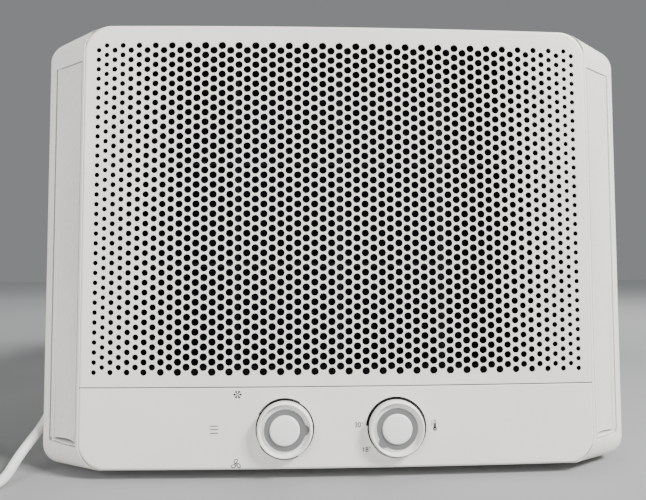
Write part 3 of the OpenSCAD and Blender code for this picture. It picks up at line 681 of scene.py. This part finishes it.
def wing_box(name, side, s0, s1, n0, n1, z0, z1):
    corners = [on_wing(side, s, n, z0) for s, n in ((s0, n0), (s1, n0), (s1, n1), (s0, n1))]
    return prism(name, corners, (0, 0, z1 - z0))


def block(name, x0, x1, d0, d1, z0, z1):
    corners = [(x0, FRONT_Y + d0, z0), (x1, FRONT_Y + d0, z0), (x1, FRONT_Y + d1, z0),
               (x0, FRONT_Y + d1, z0)]
    return prism(name, corners, (0, 0, z1 - z0))


def join(obj, *others):
    """Adds the others to obj as one solid."""
    for other in others:
        mod = obj.modifiers.new("join", "BOOLEAN")
        mod.operation = "UNION"
        mod.solver = "EXACT"
        mod.object = other
    apply_modifiers(obj)
    for other in others:
        bpy.data.objects.remove(other)
    return obj


def front_frame():
    outer = [ring_points(d * MM, *frame_ring(d * MM)) for d in FRAME_DEPTHS]
    outer.append(ring_points(SKIRT_D, *frame_ring(SKIRT_D, 0.8 * MM)))
    shell = solid_loft("front_frame_shell", outer)

    inner = [ring_points(18.5 * MM, HALF_FRONT - 25 * MM, 9.6 * MM, 366.5 * MM, FACE_R - 2 * MM)]
    for d in (36.5, 50, 73):
        inner.append(ring_points(d * MM, *frame_ring(d * MM, WALL)))
    cavity = solid_loft("cavity", inner)
    reach, top = HALF_FACE + PANEL_GAP, FACE_HI + TOP_GAP
    pocket = solid_loft("pocket", [ring_points(d, reach, FACE_LO - PANEL_GAP, top,
                                               FACE_R + 0.1 * MM) for d in (-1 * MM, POCKET_D)])
    swing = solid_loft("swing", [ring_points(d, reach, SWING_Z, top, SWING_R)
                                 for d in (-1 * MM, 15.9 * MM)])
    cab = 0.4 * MM
    opening = block("opening", cabinet_lo.x - cab, cabinet_hi.x + cab, 60 * MM, 80 * MM, -5 * MM,
                    cabinet_hi.z + cab)
    cut(shell, cavity, opening)

    extras = []
    for side in (-1, 1):
        for z in (WINDOW_LO - WALL, WINDOW_HI):
            extras.append(wing_box("end_wall", side, 0.5 * MM, WINDOW_S1 + 2 * MM, -20 * MM,
                                   -1 * MM, z, z + WALL))
        extras.append(block("rail", side * RAIL_X - RAIL_HALF, side * RAIL_X + RAIL_HALF, 18 * MM,
                            28 * MM, 78 * MM, 366 * MM))
    join(shell, *extras)

    cutters = [pocket, swing,
               block("filter_window", -180.5 * MM, 180.5 * MM, 10 * MM, 30 * MM, 82 * MM, 349 * MM),
               block("filter_slot", -181 * MM, 181 * MM, 18.8 * MM, 27.2 * MM, 80.5 * MM, 400 * MM)]
    for x in (-45, 45):
        cutters.append(block("dial_window", (x - 24) * MM, (x + 24) * MM, 10 * MM, 30 * MM,
                             14 * MM, 66 * MM))
    for side in (-1, 1):
        cutters.append(wing_box("window", side, WINDOW_S0, WINDOW_S1, -30 * MM, 4 * MM, WINDOW_LO,
                                WINDOW_HI))
    cut(shell, *cutters)
    bevel(shell, 0.35 * MM, 2, 30)
    shade(shell, 32)
    keep = shell.modifiers.new("flat", "WEIGHTED_NORMAL")
    keep.keep_sharp = True
    dress(shell, "front_plastic", "chassis", "front_frame")


front_frame()


# ---------- air flaps ----------

FLAP_S0, FLAP_S1 = 3.2 * MM, 37.2 * MM
FLAP_LO, FLAP_HI = WINDOW_LO + 0.6 * MM, WINDOW_HI - 0.6 * MM
FLAP_DIP, FLAP_T = 4 * MM, 2.2 * MM
CAP_T, CAP_BULGE = 1.2 * MM, 1.6 * MM
PIN_S, PIN_N, PIN_R, ROD_R = 35.5 * MM, -2.6 * MM, 1.5 * MM, 2.2 * MM


def bow(s, dip):
    """Depth of a shallow arc across the flap: 0 at both edges and dip in the middle."""
    half = (FLAP_S1 - FLAP_S0) / 2
    return dip * (1 - ((s - FLAP_S0 - half) / half) ** 2)


def flap_section(front, back, margin, steps=28):
    """Closed outline across a flap between a front and a back line."""
    s_values = [mix(FLAP_S0 + margin, FLAP_S1 - margin, k / steps) for k in range(steps + 1)]
    return [(s, front(s)) for s in s_values] + [(s, back(s)) for s in reversed(s_values)]


def extruded(name, side, section, z0, z1, edge):
    obj = prism(name, [on_wing(side, s, n, z0) for s, n in section], (0, 0, z1 - z0))
    bevel(obj, edge, 3, 35)
    return obj


def blade_ring(side, z, edge):
    """The blade's outline at height z; it is nearly flat at its top and dips further down."""
    level = ease((FLAP_HI - z) / (FLAP_HI - FLAP_LO))
    dip = mix(0.4 * MM, FLAP_DIP, level)
    section = flap_section(lambda s: -bow(s, dip) - edge,
                           lambda s: -bow(s, FLAP_DIP) * level - FLAP_T + edge, edge)
    return [on_wing(side, s, n, z) for s, n in section]


def air_flap(side, name):
    low, high, edge = FLAP_LO + CAP_T + 1.2 * MM, FLAP_HI, 0.5 * MM
    heights = [low + edge + (high - low - 2 * edge) * k / 24 for k in range(25)]
    rings = [blade_ring(side, low, edge), *[blade_ring(side, z, 0) for z in heights],
             blade_ring(side, high, edge)]
    blade = solid_loft(name + "_blade", rings)
    dress(shade(blade, 32), "flap_plastic", name, name)
    cap = extruded(name + "_end", side,
                   flap_section(lambda s: -0.3 * MM - CAP_BULGE + bow(s, CAP_BULGE),
                                lambda s: -6.4 * MM, 0.6 * MM),
                   FLAP_LO, FLAP_LO + CAP_T, 0.3 * MM)
    dress(shade(cap, 32), "flap_plastic", name)
    tall, tip = FLAP_HI - FLAP_LO, PIN_R - 0.2 * MM
    rod = lathe([(0, 0), (tip, 0), (PIN_R, 0.2 * MM), (PIN_R, 3.6 * MM), (ROD_R, 3.6 * MM),
                 (ROD_R, tall + 4.4 * MM), (PIN_R, tall + 4.4 * MM), (PIN_R, tall + 7.8 * MM),
                 (tip, tall + 8 * MM), (0, tall + 8 * MM)], 24)
    rod = new_object(name + "_pin", rod)
    place(rod, Matrix.Translation(on_wing(side, PIN_S, PIN_N, FLAP_LO - 4 * MM)))
    dress(rod, "flap_plastic", name)


air_flap(-1, "left_flap")
air_flap(1, "right_flap")


# ---------- dials ----------

DIAL_Z, DIAL_GAP = 40.5 * MM, 0.2 * MM
DIALS = {"mode": (-45 * MM, 0), "temperature": (45 * MM, 225)}
# Section of a dial from its middle out: (radius, height) in mm
DIAL_PROFILE = [(0, 6.2), (6, 6.15), (10, 6), (11.2, 5.8), (11.8, 5.4), (12, 4.9), (12.1, 3.65),
                (12.3, 3.6), (17.6, 3.5), (18.6, 3.1), (19.3, 3), (19.6, 3.4), (19.8, 4.8),
                (20.1, 6.1), (20.4, 6.55), (20.75, 6.75), (21.2, 6.6), (21.7, 5.8), (22.2, 3.9),
                (22.45, 1.7), (22.45, 0.9), (22.1, 0.45), (21.6, 0.4), (0, 0.4)]
RING_IN, RING_OUT = 12.2 * MM, 16.5 * MM               # radii of the grey ring
BUMP_AT, BUMP_R = 14.8 * MM, 4.4 * MM                  # the round bump that points


def on_dial(obj, x):
    """Turns a piece built on the Z axis to face the room, in front of the panel at x."""
    turn = Matrix.Rotation(math.pi / 2, 4, "X")
    return place(obj, Matrix.Translation((x, FRONT_Y - DIAL_GAP, DIAL_Z)) @ turn)


def ring_reach(angle):
    """Outer radius of the grey ring: a circle with a round bump at angle 0."""
    side = abs(BUMP_AT * math.sin(angle))
    if side < BUMP_R and math.cos(angle) > 0:
        return max(RING_OUT, BUMP_AT * math.cos(angle) + math.sqrt(BUMP_R ** 2 - side ** 2))
    return RING_OUT


def dial(name, x, pointer):
    body = name + "_dial"
    knob = new_object(body + "_knob", lathe([(r * MM, h * MM) for r, h in DIAL_PROFILE], 128))
    dress(on_dial(knob, x), "dial_plastic", body, body)
    bm = bmesh.new()
    rings = []
    for inset, h, inner in ((0, 3.6, False), (0, 4.3, False), (0.3, 4.6, False), (0.3, 4.6, True),
                            (0, 4.4, True), (0, 3.6, True)):
        loop = []
        for k in range(180):
            a = math.tau * k / 180
            r = RING_IN + inset * MM if inner else ring_reach(a) - inset * MM
            turned = a + math.radians(pointer)
            loop.append((r * math.cos(turned), r * math.sin(turned), h * MM))
        rings.append(loop)
    loft(bm, rings, closed=True)
    ring = new_object(body + "_band", bm, 30)
    dress(on_dial(ring, x), "dial_grey", body, body + "_ring")


for dial_name, (dial_place, pointer_angle) in DIALS.items():
    dial(dial_name, dial_place, pointer_angle)


# ---------- printed marks, and a painted shadow round each dial: a thin layer of ink on the panel ---

INK_T = 0.05 * MM
marks = bmesh.new()


def stroke(points, widths, closed=False):
    """Inks a line through (x, z) points in mm; widths is one width or (first, middle, last)."""
    n = len(points)
    if not isinstance(widths, tuple):
        widths = (widths, widths, widths)
    sides = []
    for k, (x, z) in enumerate(points):
        before = points[(k - 1) % n if closed else max(k - 1, 0)]
        after = points[(k + 1) % n if closed else min(k + 1, n - 1)]
        along = Vector((after[0] - before[0], after[1] - before[1])).normalized()
        t = k / (n - 1) * 2
        width = mix(widths[0], widths[1], t) if t < 1 else mix(widths[1], widths[2], t - 1)
        row = []
        for sign in (-1, 1):
            px = (x - sign * along.y * width / 2) * MM
            pz = (z + sign * along.x * width / 2) * MM
            face = FRONT_Y + sag(px)
            row += [marks.verts.new((px, y, pz)) for y in (face - INK_T, face + INK_T)]
        sides.append(row)
    pairs = list(zip(sides, sides[1:]))
    if closed:
        pairs.append((sides[-1], sides[0]))
    else:
        for row in (sides[0], sides[-1]):
            marks.faces.new((row[0], row[1], row[3], row[2]))
    for a, b in pairs:
        for i, j in ((0, 1), (1, 3), (3, 2), (2, 0)):
            marks.faces.new((a[i], a[j], b[j], b[i]))


def arc(x, z, radius, start, end, widths, steps=40):
    stroke([(x + radius * math.cos(math.radians(mix(start, end, k / steps))),
             z + radius * math.sin(math.radians(mix(start, end, k / steps))))
            for k in range(steps + 1)], widths)


def ellipse(x, z, wide, high, turn, width, steps=20):
    c, s = math.cos(math.radians(turn)), math.sin(math.radians(turn))
    loop = []
    for k in range(steps):
        u, v = wide * math.cos(math.tau * k / steps), high * math.sin(math.tau * k / steps)
        loop.append((x + c * u - s * v, z + s * u + c * v))
    stroke(loop, width, closed=True)


def digit(figure, x, z, size):
    """A 0, 1, 3 or 8 with its middle at (x, z)."""
    pen, w, h = 0.6, size * 0.27, size / 2
    if figure == "1":
        stroke([(x - w * 0.6, z + h * 0.55), (x, z + h), (x, z - h)], pen)
    elif figure == "0":
        ellipse(x, z, w, h, 0, pen)
    elif figure == "8":
        ellipse(x, z + h * 0.52, w * 0.8, h * 0.48, 0, pen)
        ellipse(x, z - h * 0.46, w, h * 0.54, 0, pen)
    else:
        arc(x - w * 0.2, z + h * 0.5, h * 0.5, 150, -90, pen, 12)
        arc(x - w * 0.2, z - h * 0.5, h * 0.5, 90, -150, pen, 12)


def dial_print_and_painted_shadow():
    """The printed arcs round both dials and the temperature numbers, and a dark ink ring round each
    dial: painted shadow for the shade in the gap under the dial's edge.
    """
    mode_x, heat_x, z = -45, 45, 40.5
    # painted shadow: a dark ink ring just outside each dial's edge, where shade falls in the gap
    # between dial and panel
    for x in (mode_x, heat_x):
        ellipse(x, z, 23, 23, 0, 1.1, 96)
    arc(mode_x, z, 24, 152, 60, (0.6, 1, 0.7))
    arc(mode_x, z, 24, 214, 296, (0.6, 1, 0.7))
    arc(heat_x, z, 24.1, 176, -132, (1.3, 0.9, 0.4), 80)
    for text, x, mark_z in (("30", 13.6, 43), ("18", 19.6, 23.3)):
        for k, figure in enumerate(text):
            digit(figure, x + (k - 0.5) * 2.6, mark_z, 3.6)
        ellipse(x + 3.6, mark_z + 1.5, 0.55, 0.55, 0, 0.3, 10)


def snowflake(x, z):
    for k in range(6):
        a = math.radians(60 * k)
        c, s = math.cos(a), math.sin(a)
        stroke([(x + 0.7 * c, z + 0.7 * s), (x + 3.3 * c, z + 3.3 * s)], 0.7)
        root_x, root_z = x + 1.9 * c, z + 1.9 * s
        for turn in (-0.7, 0.7):
            stroke([(root_x, root_z),
                    (root_x + 1.3 * math.cos(a + turn), root_z + 1.3 * math.sin(a + turn))], 0.55)


def three_lines(x0, x1, z):
    for k in range(3):
        stroke([(x0, z - 2.8 * k), (x1, z - 2.8 * k)], 0.65)


def three_blades(x, z):
    ellipse(x, z, 0.7, 0.7, 0, 0.5, 10)
    for k in range(3):
        a = math.radians(95 + 120 * k)
        ellipse(x + 2.4 * math.cos(a), z + 2.4 * math.sin(a), 1.8, 1.1, 120 * k + 60, 0.6)


def thermometer(x, z):
    ellipse(x, z - 3.2, 1.1, 1.1, 0, 0.9, 12)
    stroke([(x - 0.8, z - 2.2), (x - 0.8, z + 3.2), (x, z + 4.1), (x + 0.8, z + 3.2),
            (x + 0.8, z - 2.2)], 0.5)
    stroke([(x, z - 3), (x, z + 1.4)], 0.8)
    for k in range(3):
        stroke([(x - 3.2, z + 3 - 1.6 * k), (x - 1.9, z + 3 - 1.6 * k)], 0.5)


def print_and_painted_shadow():
    dial_print_and_painted_shadow()
    snowflake(-83, 68)
    three_lines(-105, -98.6, 43.2)
    three_blades(-84, 13)
    thermometer(76.5, 42)
    # this ink holds the print and the painted shadow rings round the dials
    dress(new_object("print_and_painted_shadow", marks), "black_plastic", "chassis")


print_and_painted_shadow()


# ---------- steel case, rear guard and base pan ----------

CAB_D0, CAB_D1, LIP_D, LIP_IN, SHEET = 64 * MM, 506 * MM, 76 * MM, 0.5 * MM, 1.2 * MM
HALF_CAB, CAB_LO, CAB_TOP = cabinet_hi.x, cabinet_lo.z, cabinet_hi.z
LOUVRES, LOUVRE_D, LOUVRE_PITCH, LOUVRE_W = 10, 232, 14, 6 * MM     # depth and pitch in mm
CORD_HOLE_D, CORD_HOLE_Z, CORD_HOLE_R = 100 * MM, 64 * MM, 6 * MM
GUARD_R, GUARD_ROWS, GUARD_Z, GUARD_PITCH = 5 * MM, 18, 56, 16      # first row and pitch in mm


def case_ring(d, inset):
    """Section of the case at depth d: an upside-down U of folded sheet."""
    loop = []
    for step, radius in ((0, 4 * MM), (SHEET, 2.8 * MM)):
        half, top = HALF_CAB - inset - step, CAB_TOP - inset - step
        line = [(half, CAB_LO)]
        for sign, start in ((1, 0), (-1, math.pi / 2)):
            for k in range(7):
                a = start + math.pi / 2 * k / 6
                line.append((sign * (half - radius) + radius * math.cos(a),
                             top - radius + radius * math.sin(a)))
        line.append((-half, CAB_LO))
        loop += line if step == 0 else line[::-1]
    return [(x, FRONT_Y + d, z) for x, z in loop]


def slot_outline(u0, u1, v0, v1):
    """A slot with round ends, as (u, v) points."""
    return rounded_loop(u0, u1, v0, v1, min(u1 - u0, v1 - v0) / 2 * 0.98, 4)


def cutter_set(name, loops, push):
    """One cutter made of many prisms, each a loop of points pushed along push."""
    bm = bmesh.new()
    for loop in loops:
        ends = loft(bm, [loop, [tuple(Vector(p) + Vector(push)) for p in loop]])
        bm.faces.new(ends[0])
        bm.faces.new(ends[1])
    return new_object(name, bm)


def steel_case():
    shell = solid_loft("case", [case_ring(CAB_D0, LIP_IN), case_ring(LIP_D - 0.4 * MM, LIP_IN),
                                case_ring(LIP_D + 0.4 * MM, 0), case_ring(CAB_D1, 0)])
    sides, top = [], []
    for i in range(LOUVRES):
        d = (LOUVRE_D + LOUVRE_PITCH * i) * MM
        for z in (60, 140, 220):
            sides.append([(-HALF_CAB - 5 * MM, FRONT_Y + u, v)
                          for u, v in slot_outline(d, d + LOUVRE_W, z * MM, (z + 66) * MM)])
        for x in (-150, -50, 50):
            top.append([(u, FRONT_Y + v, CAB_TOP - 4 * MM)
                        for u, v in slot_outline(x * MM, (x + 90) * MM, d, d + LOUVRE_W)])
    cord_hole = [(-HALF_CAB - 5 * MM,
                  FRONT_Y + CORD_HOLE_D + CORD_HOLE_R * math.cos(math.tau * k / 32),
                  CORD_HOLE_Z + CORD_HOLE_R * math.sin(math.tau * k / 32)) for k in range(32)]
    cut(shell, cutter_set("side_slots", sides, (2 * HALF_CAB + 10 * MM, 0, 0)),
        cutter_set("top_slots", top, (0, 0, 8 * MM)),
        cutter_set("cord_hole", [cord_hole], (10 * MM, 0, 0)))
    bevel(shell, 0.25 * MM, 1, 40)
    dress(shade(shell, 32), "case_paint", "chassis", "cabinet")


def guard_plate():
    lo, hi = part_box("rear_guard")
    corners = [(x, lo.y, z) for x, z in rounded_loop(lo.x, hi.x, lo.z, hi.z, GUARD_R, 6)]
    plate = cutter_set("guard", [corners], (0, hi.y - lo.y, 0))
    slots = []
    for row in range(GUARD_ROWS):
        for col in range(-3, 4):
            x, z = col * 60 * MM, (GUARD_Z + row * GUARD_PITCH) * MM
            slots.append([(u, lo.y - 2 * MM, v) for u, v in
                          slot_outline(x - 25 * MM, x + 25 * MM, z - 4.5 * MM, z + 4.5 * MM)])
    cut(plate, cutter_set("guard_slots", slots, (0, 6 * MM, 0)))
    bevel(plate, 0.3 * MM, 2, 40)
    dress(shade(plate, 32), "case_paint", "chassis", "rear_guard")


def soften(node_name, slot, width):
    """Rebuilds a folded or moulded part with its edges rounded by width."""
    source = frame["nodes"][node_name]
    bm = bmesh.new()
    bm.from_mesh(source.data)
    bm.transform(source.matrix_world)
    bmesh.ops.remove_doubles(bm, verts=bm.verts, dist=1e-6)
    bmesh.ops.dissolve_limit(bm, angle_limit=math.radians(1), verts=bm.verts, edges=bm.edges)
    obj = new_object(node_name + "_soft", bm)
    bevel(obj, width, 2, 50)
    dress(shade(obj, 32), slot, "chassis", node_name)


steel_case()
guard_plate()
soften("base_pan", "case_paint", 0.3 * MM)


# ---------- screws ----------

def screw_head():
    """A pan head with a cross recess, on the Z axis."""
    profile = [(0, 0), (3.9, 0), (4, 0.3), (3.8, 0.9), (3.2, 1.5), (2.2, 1.8), (0, 1.9)]
    head = new_object("head", lathe([(r * MM, h * MM) for r, h in profile], 32))
    arms = []
    for w, h in ((0.45, 1.9), (1.9, 0.45)):
        arms.append(prism("arm", [(-w * MM, -h * MM, 0.8 * MM), (w * MM, -h * MM, 0.8 * MM),
                                  (w * MM, h * MM, 0.8 * MM), (-w * MM, h * MM, 0.8 * MM)],
                          (0, 0, 2 * MM)))
    cut(head, *arms)
    return head


def screws(name, spots):
    """All screws of one kind: spots are (place, rotation) pairs."""
    head = screw_head()
    bm = bmesh.new()
    for spot, turn in spots:
        part = head.data.copy()
        part.transform(Matrix.Translation(spot) @ turn)
        bm.from_mesh(part)
        bpy.data.meshes.remove(part)
    bpy.data.objects.remove(head)
    dress(new_object(name + "_heads", bm, 32), "screw_steel", "chassis", name)


SIDE = {side: Matrix.Rotation(side * math.pi / 2, 4, "Y") @ Matrix.Rotation(0.4, 4, "Z")
        for side in (-1, 1)}
BACK = Matrix.Rotation(-math.pi / 2, 4, "X") @ Matrix.Rotation(0.7, 4, "Z")
screws("cabinet_screws", [(Vector((side * (HALF_CAB + 0.05 * MM), FRONT_Y + d * MM, 24 * MM)),
                           SIDE[side]) for side in (-1, 1) for d in (130, 290, 460)])
screws("guard_screws", [(Vector((x * MM, FRONT_Y + 504 * MM, z * MM)), BACK)
                        for x in (-222, 222) for z in (46, 334)])


# ---------- strain relief, cord tie and plug ----------

def strain_relief():
    block_part = block("relief_block", -247 * MM, -HALF_CAB - 0.1 * MM, 90 * MM, 112 * MM,
                       52 * MM, 76 * MM)
    bevel(block_part, 1.5 * MM, 3, 40)
    elbow = block("relief_elbow", -257 * MM, -245 * MM, 101 * MM, 112 * MM, 54 * MM, 74 * MM)
    bevel(elbow, 1.2 * MM, 3, 40)
    profile = [(0, 0), (10.6, 0), (11, 0.5), (10.8, 3), (9.4, 8)]
    for k in range(5):
        h, r = 8.4 + 3 * k, 9 - 0.72 * k
        profile += [(r - 1.1, h), (r - 1.1, h + 0.9), (r, h + 1.1), (r - 0.15, h + 2.5)]
    profile += [(5.2, 23.4), (5, 24), (0, 24)]
    boot = new_object("relief_boot", lathe([(r * MM, h * MM) for r, h in profile], 48))
    place(boot, Matrix.Translation((-257 * MM, FRONT_Y + 112 * MM, 64 * MM))
          @ Matrix.Rotation(math.pi / 2, 4, "X"))
    dress(shade(block_part, 32), "cord_white", "chassis", "strain_relief")
    dress(shade(elbow, 32), "cord_white", "chassis")
    dress(boot, "cord_white", "chassis")


def cord_tie():
    lo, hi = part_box("cord_tie")
    centre = (lo + hi) / 2
    half = (hi.z - lo.z) / 2
    rings = []
    for inset, x in ((0.3, lo.x), (0, lo.x + 0.4 * MM), (0, hi.x - 0.4 * MM), (0.3, hi.x),
                     (1.05, hi.x), (1.05, lo.x)):
        ring = []
        for quarter, (sy, sz) in enumerate(QUARTERS):
            reach, r = half - inset * MM, (4 - inset) * MM
            for k in range(7):
                a = math.pi / 2 * (quarter + k / 6)
                ring.append((x, centre.y + sy * (reach - r) + r * math.cos(a),
                             centre.z + sz * (reach - r) + r * math.sin(a)))
        rings.append(ring)
    bm = bmesh.new()
    loft(bm, rings, closed=True)
    dress(new_object("tie_band", bm, 30), "black_plastic", "chassis", "cord_tie")


def plug():
    x, y = -398 * MM, -201 * MM
    outline = [(5, 0.5), (6.5, 4), (8, 9), (10.5, 16), (15.5, 23), (16.8, 27), (16.8, 40),
               (15.5, 43.5)]
    loop = [(x + u * MM, y + v * MM, 1 * MM) for u, v in outline]
    loop += [(x - u * MM, y + v * MM, 1 * MM) for u, v in reversed(outline)]
    body = prism("plug_shell", loop, (0, 0, 18 * MM))
    grooves = []
    for v in (28, 31.5, 35):
        for side in (-1, 1):
            grooves.append(prism("groove", [(x + side * 16 * MM, y + v * MM, -1 * MM),
                                            (x + side * 19 * MM, y + (v - 0.2) * MM, -1 * MM),
                                            (x + side * 19 * MM, y + (v + 1.6) * MM, -1 * MM),
                                            (x + side * 16 * MM, y + (v + 1.4) * MM, -1 * MM)],
                                 (0, 0, 25 * MM)))
    cut(body, *grooves)
    bevel(body, 2 * MM, 4, 60)
    dress(shade(body, 40), "cord_white", "chassis", "plug_body")
    bm = bmesh.new()
    pin_profile = [(0, 0), (2, 0), (2, 17.6), (1.7, 18.5), (1, 18.9), (0, 19)]
    for k in (-1, 0, 1):
        pin = lathe([(r * MM, h * MM) for r, h in pin_profile], 24)
        mesh = bpy.data.meshes.new("pin")
        pin.to_mesh(mesh)
        pin.free()
        spot = (x + k * 9.5 * MM, y + 44 * MM, (13 if k == 0 else 10) * MM)
        mesh.transform(Matrix.Translation(spot) @ Matrix.Rotation(-math.pi / 2, 4, "X"))
        bm.from_mesh(mesh)
        bpy.data.meshes.remove(mesh)
    dress(new_object("plug_contacts", bm, 32), "pin_metal", "chassis", "plug_pins")


strain_relief()
cord_tie()
plug()


# ---------- stage ----------

FLOOR_HALF, FLOOR_NEAR, FLOOR_FAR = 12.0, 0.7, 3.5     # the floor's colour pales between near and far: painted light standing in for the light the far floor lacks
FLOOR_DARK, FLOOR_PAINTED_LIGHT = (0.27, 0.275, 0.275), (0.86, 0.865, 0.865)
WORLD_COLOUR, WORLD_STRENGTH = (0.27, 0.28, 0.285, 1), 0.85
MIDDLE = (0, 0, 0.2)                                   # what the lights point at
LIGHTS = (("key_light", (1.7, -1.3, 1.8), 0.6, 164), ("fill_light", (-1.1, -1.7, 0.7), 1.4, 36),
          ("back_light", (0.3, 1.8, 1.6), 1.5, 16))    # name, place, size (m), power (W)


def floor():
    bm = bmesh.new()
    size = FLOOR_HALF
    bm.faces.new([bm.verts.new(p) for p in
                  [(-size, -size, 0), (size, -size, 0), (size, size, 0), (-size, size, 0)]])
    obj = new_object("floor", bm)
    look = Look("floor_painted_light", Roughness=0.7)
    reach = look.nodes.new("ShaderNodeVectorMath")
    reach.operation = "LENGTH"
    look.links.new(look.coords, reach.inputs[0])
    # painted light: the floor's colour grows paler with distance from the middle, where less light
    # reaches it
    far = look.nodes.new("ShaderNodeMapRange")
    far.inputs["From Min"].default_value = FLOOR_NEAR
    far.inputs["From Max"].default_value = FLOOR_FAR
    look.links.new(reach.outputs["Value"], far.inputs["Value"])
    cloud = look.nodes.new("ShaderNodeMath")
    cloud.operation = "MULTIPLY_ADD"
    look.links.new(look.noise(3, 3), cloud.inputs[0])
    cloud.inputs[1].default_value = 0.04
    look.links.new(far.outputs["Result"], cloud.inputs[2])
    look.colour(look.ramp(cloud.outputs["Value"], [(0.0, FLOOR_DARK), (1.0, FLOOR_PAINTED_LIGHT)]))
    obj.data.materials.append(look.mat)


def soft_light(name, location, target, size, power):
    data = bpy.data.lights.new(name, "AREA")
    data.shape = "SQUARE"
    data.size = size
    data.energy = power
    obj = bpy.data.objects.new(name, data)
    obj.location = location
    obj.rotation_euler = (Vector(target) - Vector(location)).to_track_quat("-Z", "Y").to_euler()
    bpy.context.scene.collection.objects.link(obj)


def studio():
    floor()
    for name, location, size, power in LIGHTS:
        soft_light(name, location, MIDDLE, size, power)
    world = bpy.data.worlds.new("studio")
    bpy.context.scene.world = world
    world.use_nodes = True
    background = world.node_tree.nodes["Background"]
    background.inputs["Color"].default_value = WORLD_COLOUR
    background.inputs["Strength"].default_value = WORLD_STRENGTH


studio()
